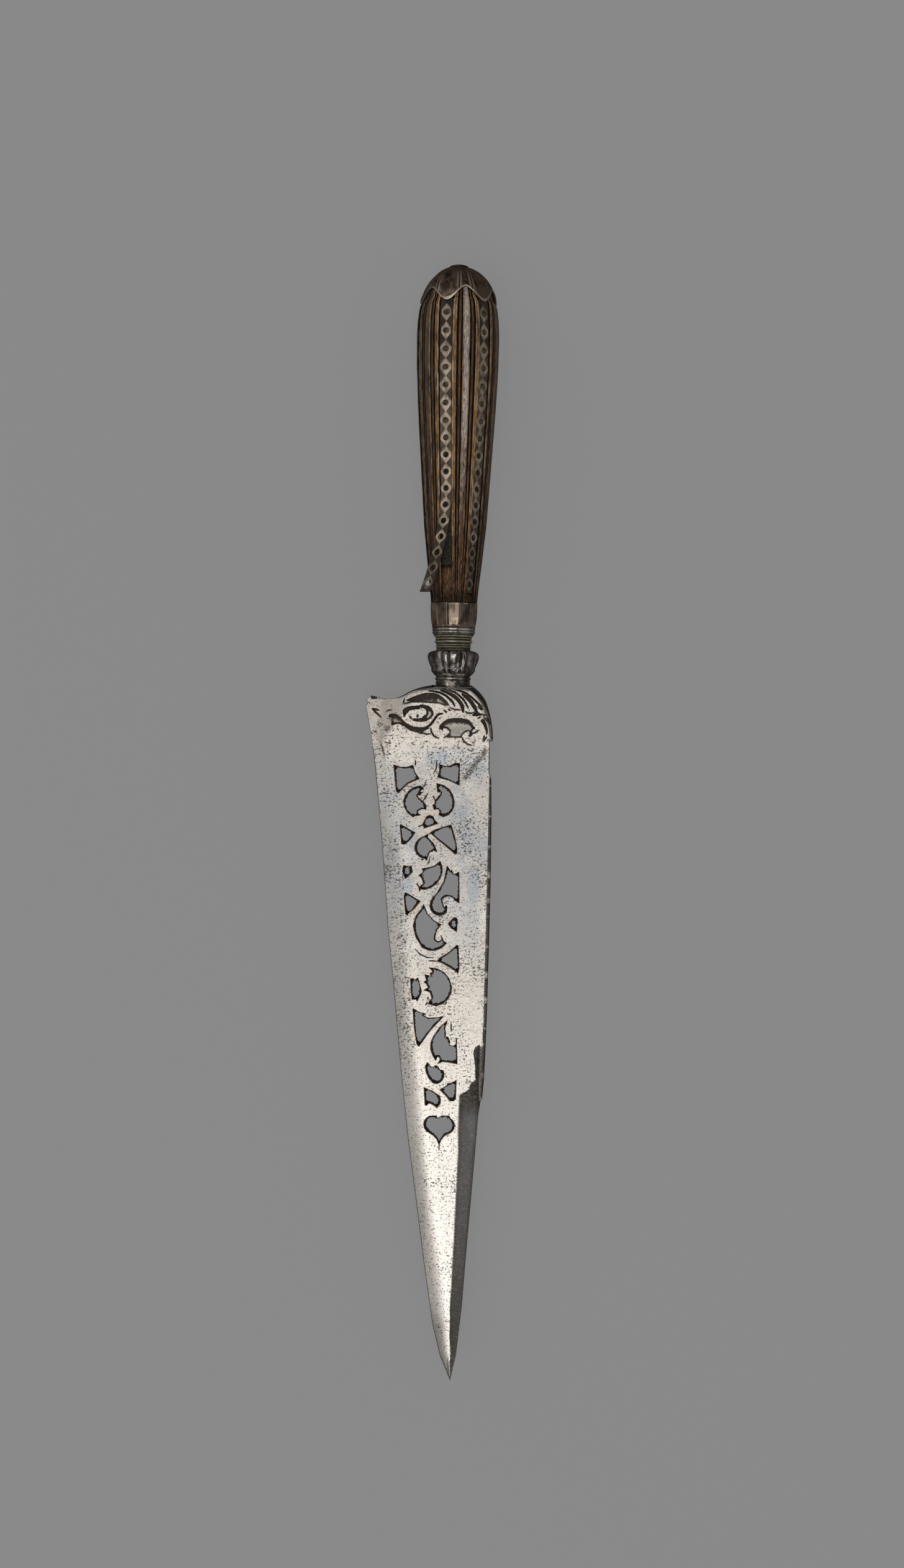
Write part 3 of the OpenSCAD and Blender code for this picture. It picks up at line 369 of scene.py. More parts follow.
def grip_wood():
    """Dark wood, rubbed gold on its ridges and grey on the broad fillets, with long grain. The grey is partly
    painted sheen, and the sides are painted dark as shade.
    """
    n = Nodes("grip_wood")
    grain = n.noise(2.6, 0.10, 5, 0.6)
    fibre = n.noise(6.0, 0.40, 5, 0.65, 3)
    blotch = n.noise(0.6, 0.13, 5, 0.6, 8)
    dark = n.mix(n.step(grain, 0.38, 0.62), (0.004, 0.003, 0.0025), (0.013, 0.008, 0.006))
    plum = n.mix(n.step(grain, 0.4, 0.62), (0.019, 0.011, 0.0075), (0.085, 0.050, 0.034))
    gold = n.mix(n.step(fibre, 0.36, 0.66), (0.045, 0.024, 0.008), (0.40, 0.215, 0.065))
    grey = n.mix(n.step(fibre, 0.36, 0.64), (0.095, 0.078, 0.062), (0.50, 0.435, 0.37))
    color = n.mix(n.times(n.value("gold"), n.step(blotch, 0.34, 0.58)), plum, gold)
    # The fillets' grey is rubbed wear, and on the front band partly painted sheen
    color = n.mix(n.times(n.value("grey"), n.step(blotch, 0.28, 0.5)), color, grey)
    pale = n.times(n.value("worn"), n.patches(0.42, 0.6, 1.5, 0.22, 4, 0.6, 17))
    color = n.lay(pale, 0.8, color, (0.42, 0.33, 0.24))
    low = n.step(n.plus(n.axis("Y"), n.times(blotch, 40.0)), 78.0, 62.0)
    russet = n.mix(n.step(fibre, 0.38, 0.64), (0.012, 0.006, 0.003), (0.165, 0.080, 0.040))
    color = n.lay(low, 0.6, color, russet)
    # The grip's sides are painted dark as shade
    color = n.lay(n.value("side"), 0.55, color, dark)
    line = n.times(low, n.patches(0.5, 0.6, 3.4, 0.05, 4, 0.6, 52))
    color = n.lay(line, 0.75, color, (0.016, 0.010, 0.008))
    color = n.mix(n.step(n.value("hollow"), 0.15, 0.6), color, dark)
    foot = n.step(n.plus(n.axis("Y"), n.times(grain, 6.0)), 35.0, 29.5)
    color = n.lay(foot, 0.75, color, dark)
    fleck = n.patches(0.62, 0.70, 3.0, 1.3, 4, 0.65, 31)
    color = n.lay(fleck, 0.7, color, (0.014, 0.010, 0.009))
    ember = n.patches(0.64, 0.72, 2.2, 0.8, 4, 0.6, 45)
    color = n.lay(ember, 0.6, color, (0.30, 0.125, 0.055))
    rough = n.blend(fibre, 0.28, 0.46)
    height = n.plus(n.times(grain, 0.6), n.times(fibre, 0.4))
    return n.done(color, rough, 0.0, height, 0.25, Specular_IOR_Level=0.06)


def green_foil():
    """Backing foil: olive brown under the strips, green with corrosion where it is laid bare."""
    n = Nodes("foil_green")
    cloud = n.noise(1.1, 0.8, 5, 0.6)
    olive = n.mix(n.step(cloud, 0.4, 0.6), (0.030, 0.026, 0.016), (0.085, 0.072, 0.042))
    low = n.step(n.axis("Y"), 82.0, 70.0)
    olive = n.lay(low, 0.75, olive, (0.010, 0.008, 0.006))
    fleck = n.patches(0.46, 0.62, 2.4, 1.7, 5, 0.7, 5)
    green = n.mix(fleck, (0.007, 0.009, 0.006), (0.040, 0.070, 0.038))
    patch = n.noise(0.8, 0.55, 5, 0.65, 9)
    share = n.step(n.plus(n.value("bare"), n.times(patch, 1.6)), 1.68, 2.0)
    return n.done(n.mix(share, olive, green), 0.6, 0.0, cloud, 0.2, Specular_IOR_Level=0.1)


STEEL = blade_steel()
WALL = wall_steel()
KNOP = dark_steel()
BRIGHT = silver("silver_ring", (0.58, 0.53, 0.48), (0.22, 0.19, 0.165), 0.32)
FERRULE = silver("silver_ferrule", (0.27, 0.21, 0.16), (0.10, 0.077, 0.059), 0.18)
CAP = silver("silver_cap", (0.14, 0.102, 0.074), (0.045, 0.032, 0.022), 0.24, (0.92, 0.77, 0.62))
STRIP = silver("silver_strip", (0.50, 0.40, 0.305), (0.22, 0.172, 0.127), 0.40)
ALLOY = copper_alloy()
WOOD = grip_wood()
FOIL = green_foil()


# Blade: a sheet over each face, both made from the CAD node's outline and heights, joined by walls

blade_v, blade_t = cad_arrays("blade")
blade_low, blade_high = cad_box_mm("blade")
# Where the bolster ends towards the tip, how far its sheet runs into the neck, and the flats' height
HEEL_END, ROOT, FLAT = -19.0, 0.35, 1.7
# Half of the bevel's thickness at its edge, as the CAD node has it, and near the heel as it is shown
EDGE_HALF, HEEL_EDGE_HALF = 0.2, 1.18
# The outline is read this high, just above the middle
OUTLINE_Z = 0.011
# Where the back's notch begins and where its bevel does, towards the tip
NOTCH_Y, FALSE_EDGE_Y = -112.5, -131.0
# The map of the bolster's heights: where it starts, how fine it is, and its two sides
MAP_LOW, PITCH = -27.0, 0.1
SIDE_LOW, SIDE_HIGH = blade_low[0] - 0.5, blade_high[0] + 0.5
# The rays that look down on the blade start this high
ABOVE = 30.0
# Seen from above, a point this near an opening's edge is on it
ON_EDGE = 0.05
# The pierced panel's middle, half its width and its lower end, and how high its engraved floor lies
PIERCED_X, PIERCED_HALF, PIERCED_LOW, ENGRAVED_Z = -3.0, 9.0, -125.0, 1.4


def look_down(tree, x, y):
    """Where a ray from above first meets the node, and how the face there is turned."""
    return tree.ray_cast(Vector((x, y, ABOVE)), Vector((0, 0, -1)))[:2]


def outline_loops(v, t, z):
    """The closed lines in which a mesh crosses a height."""
    above = v[t][:, :, 2] > z
    crossed = above.any(1) & ~above.all(1)
    links = {}
    for tri, up in zip(t[crossed], above[crossed]):
        ends = []
        for a, b in ((0, 1), (1, 2), (2, 0)):
            if up[a] != up[b]:
                p, q = v[tri[a]], v[tri[b]]
                spot = p + (q - p) * (z - p[2]) / (q[2] - p[2])
                ends.append((round(spot[0], 4), round(spot[1], 4)))
        if ends[0] != ends[1]:
            links.setdefault(ends[0], []).append(ends[1])
            links.setdefault(ends[1], []).append(ends[0])
    loops = []
    while links:
        start = spot = next(iter(links))
        loop = []
        while spot in links:
            loop.append(spot)
            others = links.pop(spot)
            spot = next((o for o in others if o in links), start)
        loops.append(np.array(loop))
    return sorted(loops, key=len, reverse=True)


def below(loop, y):
    """The part of a closed line that lies below a height, cut straight across there."""
    kept = []
    for p, q in zip(loop, np.roll(loop, -1, axis=0)):
        if p[1] <= y:
            kept.append(p)
        if (p[1] <= y) != (q[1] <= y):
            kept.append(p + (q - p) * (y - p[1]) / (q[1] - p[1]))
    return np.array(kept)


def even(loop, gap):
    """A closed line with its corners kept and no side longer than gap."""
    points = []
    for p, q in zip(loop, np.roll(loop, -1, axis=0)):
        length = np.hypot(*(q - p))
        if length < 0.01:
            continue
        n = int(np.ceil(length / gap))
        points += [p + (q - p) * k / n for k in range(n)]
    return np.array(points)


def inside(points, loops):
    """Which points lie inside the first loop and in none of the others."""
    result = np.zeros(len(points), bool)
    x, y = points[:, 0], points[:, 1]
    for loop in loops:
        hit = np.zeros(len(points), bool)
        for p, q in zip(loop, np.roll(loop, -1, axis=0)):
            if p[1] != q[1]:
                spans = (p[1] > y) != (q[1] > y)
                hit ^= spans & (x < (q[0] - p[0]) * (y - p[1]) / (q[1] - p[1]) + p[0])
        result ^= hit
    return result


def near(points, targets):
    """Distance from each point to the nearest target."""
    tree = kdtree.KDTree(len(targets))
    for i, (x, y) in enumerate(targets):
        tree.insert((x, y, 0), i)
    tree.balance()
    return np.array([tree.find((x, y, 0))[2] for x, y in points])


def filled(loops, points, merge):
    """Triangles that fill the first line up to the others, all turned to +Z, with their corners."""
    edges, start = [], 0
    for loop in loops:
        edges += [(start + k, start + (k + 1) % len(loop)) for k in range(len(loop))]
        start += len(loop)
    flat = [Vector(p) for p in np.vstack([*loops, points])]
    verts, _, tris, _, _, _ = delaunay_2d_cdt(flat, edges, [], 0, merge)
    verts = np.array([tuple(p) for p in verts])
    tris = np.array([tri for tri in tris if len(tri) == 3])
    tris = tris[inside(verts[tris].mean(axis=1), loops)]
    up = verts[tris]
    turn = np.cross(up[:, 1] - up[:, 0], up[:, 2] - up[:, 0])
    return verts, np.where((turn > 0)[:, None], tris, tris[:, ::-1])


def open_edges(tris):
    """The edges that only one triangle has."""
    edges = np.vstack([tris[:, [0, 1]], tris[:, [1, 2]], tris[:, [2, 0]]])
    pairs = dict.fromkeys(map(tuple, edges.tolist()))
    return [(a, b) for a, b in pairs if (b, a) not in pairs]


def square_to(along):
    """Unit vectors to the right of these."""
    side = np.stack([along[:, 1], -along[:, 0]], axis=1)
    return side / np.maximum(np.linalg.norm(side, axis=1, keepdims=True), 1e-9)


def crease_points(v, t, gap, shift):
    """Points to both sides of the front's sharp edges, seen from above."""
    keys = {}
    corner = [tuple(np.round(p, 3)) for p in v]
    p = v[t]
    normal = np.cross(p[:, 1] - p[:, 0], p[:, 2] - p[:, 0])
    normal /= np.maximum(np.linalg.norm(normal, axis=1, keepdims=True), 1e-12)
    for k, tri in enumerate(t):
        for a, b in ((0, 1), (1, 2), (2, 0)):
            keys.setdefault(tuple(sorted((corner[tri[a]], corner[tri[b]]))), []).append(k)
    made = []
    for (a, b), owners in keys.items():
        a, b = np.array(a), np.array(b)
        if len(owners) != 2 or max(a[1], b[1]) > ROOT or min(a[2], b[2]) < 0.15:
            continue
        n1, n2 = normal[owners[0]], normal[owners[1]]
        if n1 @ n2 > 0.9985 or max(n1[2], n2[2]) < 0.2:
            continue
        side = np.array([b[1] - a[1], a[0] - b[0]])
        length = np.hypot(*side)
        if length < 0.02:
            continue
        steep = min(n1[2], n2[2]) < 0.3
        for k in range(int(np.ceil(length / gap)) + 1):
            spot = a[:2] + (b - a)[:2] * min(1, k * gap / length)
            made += [spot + side / length * s for s in ((-shift, shift) if steep else (0,))]
    return np.array(made)


def thin_out(points, gap):
    """Points with at most one in each square of a fine grid."""
    cells = np.round(points / gap).astype(int)
    first = np.unique(cells, axis=0, return_index=True)[1]
    return points[np.sort(first)]


def blurred(image, sigma):
    """A Gaussian blur that keeps its level at the borders."""
    reach = int(np.ceil(3 * sigma))
    kernel = np.exp(-np.arange(-reach, reach + 1) ** 2 / (2 * sigma**2))

    def along(a, axis):
        padded = np.pad(a, [(reach, reach) if k == axis else (0, 0) for k in range(2)])
        return sum(w * np.take(padded, np.arange(a.shape[axis]) + k, axis) for k, w in enumerate(kernel))

    known = np.isfinite(image).astype(float)
    total = along(along(np.where(known > 0, image, 0), 0), 1)
    return total / np.maximum(along(along(known, 0), 1), 1e-9)


# Shares of the bolster's swelling along it and of its thickness across it, as the CAD model has them
SWELLING = np.array([
    (-24, 0), (-18, 0.12), (-12, 0.46), (-7, 0.78), (-3, 0.96), (-1.2, 1), (-0.3, 0.93), (0.3, 0.78),
    (0.9, 0.5)
])
CROSSING = np.array([
    (-28, 0.08), (-24, 0.26), (-20, 0.5), (-15, 0.8), (-10, 0.97), (-5, 1), (6, 1), (9.5, 0.9), (11.6, 0.72),
    (12.6, 0.54), (13.2, 0.36)
])
BOLSTER_HALF = 5.4


def dome_height(x, y, thick):
    """The bolster before it was carved, where it runs out into the flat and the bevel. thick is half
    of what the bevel has at its edge."""
    along = FLAT + (BOLSTER_HALF - FLAT) * read(SWELLING, y)
    across = BOLSTER_HALF * read(CROSSING, x)
    edge_x = np.interp(y, (-27, -25, -15, -6.2), (-23.9, -24.1, -25.5, -27.3))
    bevel_x = np.interp(y, (-27, -25, -17, -6.2), (-20.0, -20.5, -22.6, -26.6))
    ease = 1 + 0.8 * smooth(MAP_LOW, -19, y)
    share = np.clip((x - edge_x) / (bevel_x - edge_x) / ease, 0, 1)
    flank = thick + (FLAT - thick) * (1 - (1 - share) ** ease)
    return np.maximum(np.where((x < bevel_x) & (y < -6.2), 0, np.minimum(along, across)), flank)


class HeightMap:
    """The blade's front heights on a grid, made by looking down on the CAD node."""

    def __init__(self, tree, low, high, pitch):
        self.low, self.pitch = np.array(low), pitch
        self.z = np.full(np.ceil((np.array(high) - low) / pitch).astype(int) + 1, np.nan)
        for i, j in np.ndindex(self.z.shape):
            spot, _ = look_down(tree, low[0] + i * pitch, low[1] + j * pitch)
            if spot is not None and spot.z > 0:
                self.z[i, j] = spot.z

    def at(self, grid, points):
        """A grid's value at points, between its nodes."""
        u = (points - self.low) / self.pitch
        u = np.clip(u, 0, np.array(grid.shape) - 1.001)
        i, f = u.astype(int), u - u.astype(int)
        a, b = grid[i[:, 0], i[:, 1]], grid[i[:, 0] + 1, i[:, 1]]
        c, d = grid[i[:, 0], i[:, 1] + 1], grid[i[:, 0] + 1, i[:, 1] + 1]
        return (a * (1 - f[:, 0]) + b * f[:, 0]) * (1 - f[:, 1]) + (c * (1 - f[:, 0]) + d * f[:, 0]) * f[:, 1]


def bevel_lines(tree):
    """Rows along the blade: y, cutting edge, end of its bevel, start of the back's bevel, back and the
    flat's height."""
    rows = []
    xs = np.arange(blade_low[0], blade_high[0], 0.1)
    for y in np.arange(blade_low[1] + 2, MAP_LOW, 2.0):
        spots_met = [look_down(tree, x, y)[0] for x in xs]
        z = np.array([0 if spot is None else spot.z for spot in spots_met])
        steel, flat = xs[z > 0], xs[z > 0.985 * z.max()]
        rows.append((y, steel[0], flat[0], flat[-1], steel[-1], z.max()))
    return np.array(rows)


def rounded_bevel(p, height, lines):
    """The cutting side's bevel runs softly into the flat, and is thick near the heel."""
    x, y = p[:, 0], p[:, 1]
    edge, crease, level = (read(lines, y, k) for k in (1, 2, 5))
    plane = EDGE_HALF + (level - EDGE_HALF) * (x - edge) / np.maximum(crease - edge, 0.3)
    blunt = 0.65 * smooth(-50, MAP_LOW, y)
    raised = np.where(x < crease, height + np.maximum(level - height, 0) * blunt, height)
    soft = 0.6 * level
    drop = np.maximum(soft - np.abs(plane - level), 0) ** 2 / (4 * soft)
    return raised - (1 - blunt) * drop * (x < 3)


def rounded_drop(distance, radius):
    """How far a surface falls towards its edge, over a quarter round."""
    t = np.clip(1 - distance / radius, 0, 1)
    return radius * (1 - np.sqrt(1 - t * t))


def ledge_points(rim, index, edges, pierced):
    """Where the wall behind each rim point reaches halfway through the blade. Inside the openings it
    leans inwards, most of all in the corners, as sawn and filed metal does."""
    after = {index[a]: index[b] for a, b in edges}
    before = {b: a for a, b in after.items()}
    nxt = np.array([after[i] for i in range(len(rim))])
    prv = np.array([before[i] for i in range(len(rim))])
    soft = rim.copy()
    for _ in range(40):
        soft = 0.5 * soft + 0.25 * (soft[nxt] + soft[prv])
    inward = square_to(soft[nxt] - soft[prv])
    lean = np.sum((soft - rim) * inward, axis=1)
    x, y = rim.T
    ragged = 0.09 * np.sin(1.3 * x + 0.7 * y) + 0.07 * np.sin(5.1 * y - 3.7 * x)
    ragged = ragged + 0.05 * np.sin(11 * x + 4 * y)
    reach = np.clip(0.38 + 2.8 * np.maximum(lean, 0) + ragged, 0.1, 1.4)
    return rim + np.where(pierced, reach, 0)[:, None] * inward


# Width of the rounded rim outside the bolster's relief, which is painted dark as shade, as (x, width)
RIM_WIDTH = np.array([
    (-22, 0.15), (-16, 0.3), (-12, 0.45), (-8, 0.8), (-4, 0.9), (4, 1.0), (6, 1.5), (8.5, 1.4), (10.5, 0.8),
    (11.5, 0.5), (12.9, 0.35)
])


def shade_and_dirt_in(carved, fall):
    """Soiling and painted shade fill the narrow cuts, and painted shadow lies under the upper edges of the
    wide ones, down to about fall.
    """
    deep = carved > 0.15
    below_edge = np.zeros(carved.shape)
    for j in range(carved.shape[1] - 2, -1, -1):
        below_edge[:, j] = np.where(deep[:, j], below_edge[:, j + 1] + PITCH, 0)
    inner = blurred(deep.astype(float), 0.5 / PITCH)
    shade_and_dirt = np.maximum(bell(below_edge, 0, fall), np.clip(2.0 - 2 * inner, 0, 1))
    return blurred(np.where(deep, shade_and_dirt, 0), 0.6)


def blade_sheet():
    """The blade from above: corners, triangles, and points along its outline and along its openings."""
    loops = outline_loops(blade_v, blade_t, OUTLINE_Z)
    loops = [even(below(loops[0], ROOT), 0.3)] + [even(l, 0.2) for l in loops[1:] if len(l) > 2]
    outline, openings = even(loops[0], 0.06), np.vstack([even(l, 0.06) for l in loops[1:]])
    points = [crease_points(blade_v, blade_t, 0.2, 0.05)]
    for low_y, high_y, gap in ((HEEL_END, ROOT, 0.15), (blade_low[1], HEEL_END, 0.6)):
        xs, ys = np.arange(SIDE_LOW, SIDE_HIGH, gap), np.arange(low_y, high_y, gap * 0.87)
        gx, gy = np.meshgrid(xs, ys, indexing="ij")
        gx = gx + (np.arange(len(ys)) % 2) * gap / 2
        points.append(np.stack([gx, gy], axis=-1).reshape(-1, 2))
    for depth in (0.05, 0.12, 0.24, 0.42):
        for loop in loops:
            side = depth * square_to(np.roll(loop, -1, axis=0) - np.roll(loop, 1, axis=0))
            points += [loop + side, loop - side]
    points = thin_out(np.vstack(points), 0.05)
    points = points[inside(points, loops)]
    points = points[near(points, np.vstack([outline, openings])) > 0.04]
    verts, tris = filled(loops, points, 1e-4)
    return verts, tris, outline, openings


def front_heights(tree, verts):
    """How high the CAD node's front is at each corner, and how level it is there."""
    straight, level = np.zeros(len(verts)), np.zeros(len(verts))
    for k, (x, y) in enumerate(verts):
        for dx, dy in ((0, 0), (0.02, 0), (-0.02, 0), (0, 0.02), (0, -0.02)):
            spot, normal = look_down(tree, x + dx, y + dy)
            if spot is not None and spot.z > straight[k]:
                straight[k], level[k] = spot.z, normal.z
    return straight, level


def carving(tree):
    """The map of the bolster, and on it the smoothed dome, what is carved into that, its narrow cuts
    and the soiling and painted shade in them."""
    bolster = HeightMap(tree, (SIDE_LOW, MAP_LOW), (SIDE_HIGH, ROOT + 0.3), PITCH)
    columns, rows = (PITCH * np.arange(n) for n in bolster.z.shape)
    x, y = np.meshgrid(SIDE_LOW + columns, MAP_LOW + rows, indexing="ij")
    carved = np.where(np.isfinite(bolster.z), dome_height(x, y, EDGE_HALF) - bolster.z, 0)
    carved = np.where((carved < np.where(x < -19, 0.16, 0.05)) | (x < -25.5) | (y > 0), 0, carved)
    carved = blurred(carved, 0.6)
    narrow = carved - blurred(carved, 0.45 / PITCH)
    shade_and_dirt = shade_and_dirt_in(carved, np.where((x < -5) & (y > -7.6), 2.8, 1.5))
    return bolster, blurred(dome_height(x, y, HEEL_EDGE_HALF), 0.8 / PITCH), carved, narrow, shade_and_dirt


# Blue temper colours on the flats, as (x, y, reach across, reach along)
BLUE_SPOTS = [
    (4.5, -49, 4.0, 4.5), (-12.2, -50, 2.2, 8.0), (-4.5, -22.5, 4.5, 3.5), (7.5, -62, 2.5, 7),
    (-13.5, -62, 2.2, 6), (3.2, -56, 1.6, 5)
]
# Dark stains, in the same form
DARK_SPOTS = [
    (-22.3, -12.3, 1.5, 1.2), (-24.0, -14.6, 1.0, 1.6), (-19.3, -15.6, 1.3, 0.6), (6.3, -36.6, 1.1, 0.7),
    (5.2, -42.0, 1.6, 0.9), (6.3, -52.0, 1.2, 0.9), (6.5, -124.0, 2.2, 1.2), (9.4, -121.5, 0.9, 2.2),
    (8.6, -127.2, 1.6, 1.6), (1.4, -199, 1.4, 1.2), (-1.4, -201, 1.2, 0.9), (12.4, -15.9, 0.6, 0.8),
    (-18.9, -6.3, 0.6, 0.4), (-17.6, -8.4, 0.4, 0.4), (-26.2, -5.4, 0.9, 0.7), (-20.3, -13.4, 2.2, 2.0),
    (-22.8, -12.0, 1.6, 2.2), (9.6, -117.5, 1.2, 3.2), (5.4, -127.4, 1.6, 1.0)
]
# The long smear across the back near the bolster, from one end to the other
SMEAR = np.array([(10.6, -19.8), (4.2, -28.6)])


def spots(p, places):
    total = np.zeros(len(p))
    for cx, cy, rx, ry in places:
        total = np.maximum(total, np.exp(-(((p[:, 0] - cx) / rx) ** 2 + ((p[:, 1] - cy) / ry) ** 2)))
    return total


def smear(p):
    """How strongly the steel is stained."""
    along = SMEAR[1] - SMEAR[0]
    share = np.clip((p - SMEAR[0]) @ along / (along @ along), 0, 1)
    away = np.linalg.norm(p - SMEAR[0] - share[:, None] * along, axis=1)
    return np.maximum(0.54 * bell(away, 0, 1.7), 0.52 * spots(p, DARK_SPOTS))


def make_blade():
    tree = BVHTree.FromPolygons(blade_v.tolist(), blade_t.tolist())
    verts, tris, outline, openings = blade_sheet()
    x, y = verts.T
    straight, level = front_heights(tree, verts)
    lines = bevel_lines(tree)
    bolster, dome, carved, narrow, shade_and_dirt = carving(tree)

    # Heights: the bolster's dome is smoothed, and what is carved into it is kept crisp
    heel_end = HEEL_END - 5.5 * smooth(-14, -18, x)
    in_bolster = smooth(heel_end - 1.5, heel_end + 0.5, y)
    relief = bolster.at(carved, verts)
    height = rounded_bevel(verts, straight, lines) * (1 - in_bolster)
    height = height + in_bolster * (bolster.at(dome, verts) - relief)
    to_outer, to_openings = near(verts, outline), near(verts, openings)
    to_outer = np.where((y > ROOT - 0.01) | ((np.abs(x) < 6) & (y > -0.5)), 9, to_outer)
    domed = smooth(-19, -15, x) * smooth(HEEL_END + 1.5, HEEL_END + 3.5, y)
    rim_width = read(RIM_WIDTH, x)
    outer_radius = (0.25 + (0.4 + rim_width) * domed) * np.clip(height / FLAT, 0.1, 1)
    height = height - rounded_drop(to_outer, outer_radius) - rounded_drop(to_openings, 0.2)
    height = np.maximum(height, 0.03)

    # Soiling and painted shade in the carving, painted shade along the rims, edges and tilted faces, and
    # other dark places
    on_blade = y < HEEL_END
    sunk = np.maximum(smooth(0.06, 0.17, bolster.at(narrow, verts)), bolster.at(shade_and_dirt, verts)) * in_bolster
    in_panel = on_blade & (y > PIERCED_LOW) & (np.abs(x - PIERCED_X) < PIERCED_HALF)
    engraved = (np.abs(straight - ENGRAVED_Z) < 0.08) & (level > 0.999) & in_panel
    hollow = np.maximum.reduce([sunk, 0.8 * smooth(0.13, 0.0, to_openings), 0.8 * engraved])
    edge, crease, ridge, back = (read(lines, y, k) for k in (1, 2, 3, 4))
    on_bevel = smooth(1.3, 0.55, (x - edge) / np.maximum(crease - edge, 0.3))
    # flank marks the bevels and other tilted faces, which the steel paints darker as shade
    flank = np.where(x < np.minimum(3, ridge), on_bevel, smooth(0.997, 0.985, level)) * on_blade
    dull = 0.85 * ((straight < 1.62) | (x > 10)) * (x > 2) * smooth(-137, -130, y) * (y < NOTCH_Y)
    dull = np.maximum(dull, 0.3 * smooth(-196, -201, y + 0.5 * x) * flank * (x < 3))
    rib_line = np.interp(y, (-131, -125, -113, -105, -60, -27), (10.3, 10.8, 10.9, 11.2, 11.7, 11.9))
    rib = smooth(-0.1, 0.1, x - rib_line) * (y < MAP_LOW) * (y > FALSE_EDGE_Y)
    chips = smooth(0.45, 0.85, np.sin(1.7 * y + 2 * np.sin(0.6 * y)) * np.sin(0.31 * y + 1))
    across = np.clip((x - ridge) / np.maximum(back - ridge, 0.3), 0, 1)
    false_edge = (x > ridge) * (y < FALSE_EDGE_Y)
    shade = np.maximum.reduce([
        0.96 * rib * (1 - 0.5 * chips),
        0.93 * smooth(rim_width + 0.2, rim_width - 0.1, to_outer) * domed,
        0.93 * smooth(-0.4, -0.15, y) * smooth(7.0, 6.0, np.abs(x)),
        0.55 * smooth(0.45, 0.1, to_outer) * on_blade,
        false_edge * (0.45 * bell(across, 0, 0.25) + 0.55 * smooth(0.7, 1.0, across)),
        false_edge * 0.4 * smooth(-155, -200, y),
        0.5 * smooth(8.8, 9.6, x) * (y < NOTCH_Y) * (y > FALSE_EDGE_Y),
    ])
    temper = false_edge * bell(across, 0.55, 0.25) * smooth(-185, -160, y)
    marks = {
        "hollow": hollow, "stain": smear(verts), "shade": shade, "flank": flank, "dull": dull,
        "blue": np.maximum(spots(verts, BLUE_SPOTS), temper),
        "ground": smooth(0.1, 0.4, relief) * in_bolster, "rim": smooth(0.55, 0.15, to_openings),
    }

    # Both faces and the walls between them
    edges = open_edges(tris)
    rim_ids = sorted({k for e in edges for k in e})
    m = len(rim_ids)
    order = {k: i for i, k in enumerate(rim_ids)}
    ledge = ledge_points(verts[rim_ids], order, edges, to_openings[rim_ids] < ON_EDGE)
    front, rear = np.column_stack([verts, height]), np.column_stack([verts, -height])
    middle = np.column_stack([ledge, np.zeros(m)])
    points = np.vstack([front, rear, front[rim_ids], middle, rear[rim_ids]])
    walls, kinds = [], [0] * (2 * len(tris))
    for a, b in edges:
        i, j = 2 * len(verts) + order[a], 2 * len(verts) + order[b]
        walls += [(j, i, i + m, j + m), (j + m, i + m, i + 2 * m, j + 2 * m)]
        kinds += [int(to_openings[a] < ON_EDGE)] * 2
    faces = tris.tolist() + (tris[:, ::-1] + len(verts)).tolist() + walls
    values = {key: np.concatenate([v, v, np.zeros(3 * m)]) for key, v in marks.items()}
    add_piece("blade_forging", points, faces, [STEEL, WALL], ["blade"], values, kinds)


make_blade()


# Knop and neck: turned steel with gadroons

GADROONS, GADROON_TURN = 8, np.radians(4)
# The turned outline without its gadroons, as (radius, height)
KNOP_LINE = np.array([
    (4.6, -1.5), (5.2, -0.6), (5.3, 0.3), (5.36, 0.8), (5.44, 1.3), (5.38, 1.75), (5.18, 1.95), (5.3, 2.1),
    (5.58, 2.3), (5.62, 2.55), (5.4, 2.85), (5.25, 3.05), (5.35, 3.25), (6.05, 3.9), (6.75, 4.7), (6.95, 5.3),
    (6.88, 5.75), (7.1, 6.3), (7.6, 7.4), (7.98, 8.6), (8.09, 9.3), (8.02, 10.0), (7.62, 10.65), (6.9, 11.05),
    (5.9, 11.28), (4.2, 11.3)
])[:, ::-1]


def knop_radius(y, a):
    turn = (a - GADROON_TURN) * GADROONS / (2 * pi)
    share = np.abs(turn - np.round(turn)) * 2
    r = read(KNOP_LINE, y)
    body = smooth(3.5, 4.3, y) * smooth(11.3, 10.9, y)
    waist = bell(y, 5.6, 0.3)
    broad = 0.5 * bump(share, 0, 0.62) ** 1.3
    narrow = 0.34 * bump(share, 1, 0.26) ** 1.2
    depth = 0.55 * (1 - np.maximum(broad * 2, narrow * 2.9)) * body * (1 - 0.75 * waist)
    return r - np.maximum(depth, 0)


def side_shade_and_tarnish(points, start=0.5, full=0.95):
    """Painted shade on the two sides, which darkens away from the front and the back. start and full
    are shares of the radius."""
    return smooth(start, full, np.abs(points[:, 0]) / np.maximum(np.hypot(points[:, 0], points[:, 2]), 0.01))


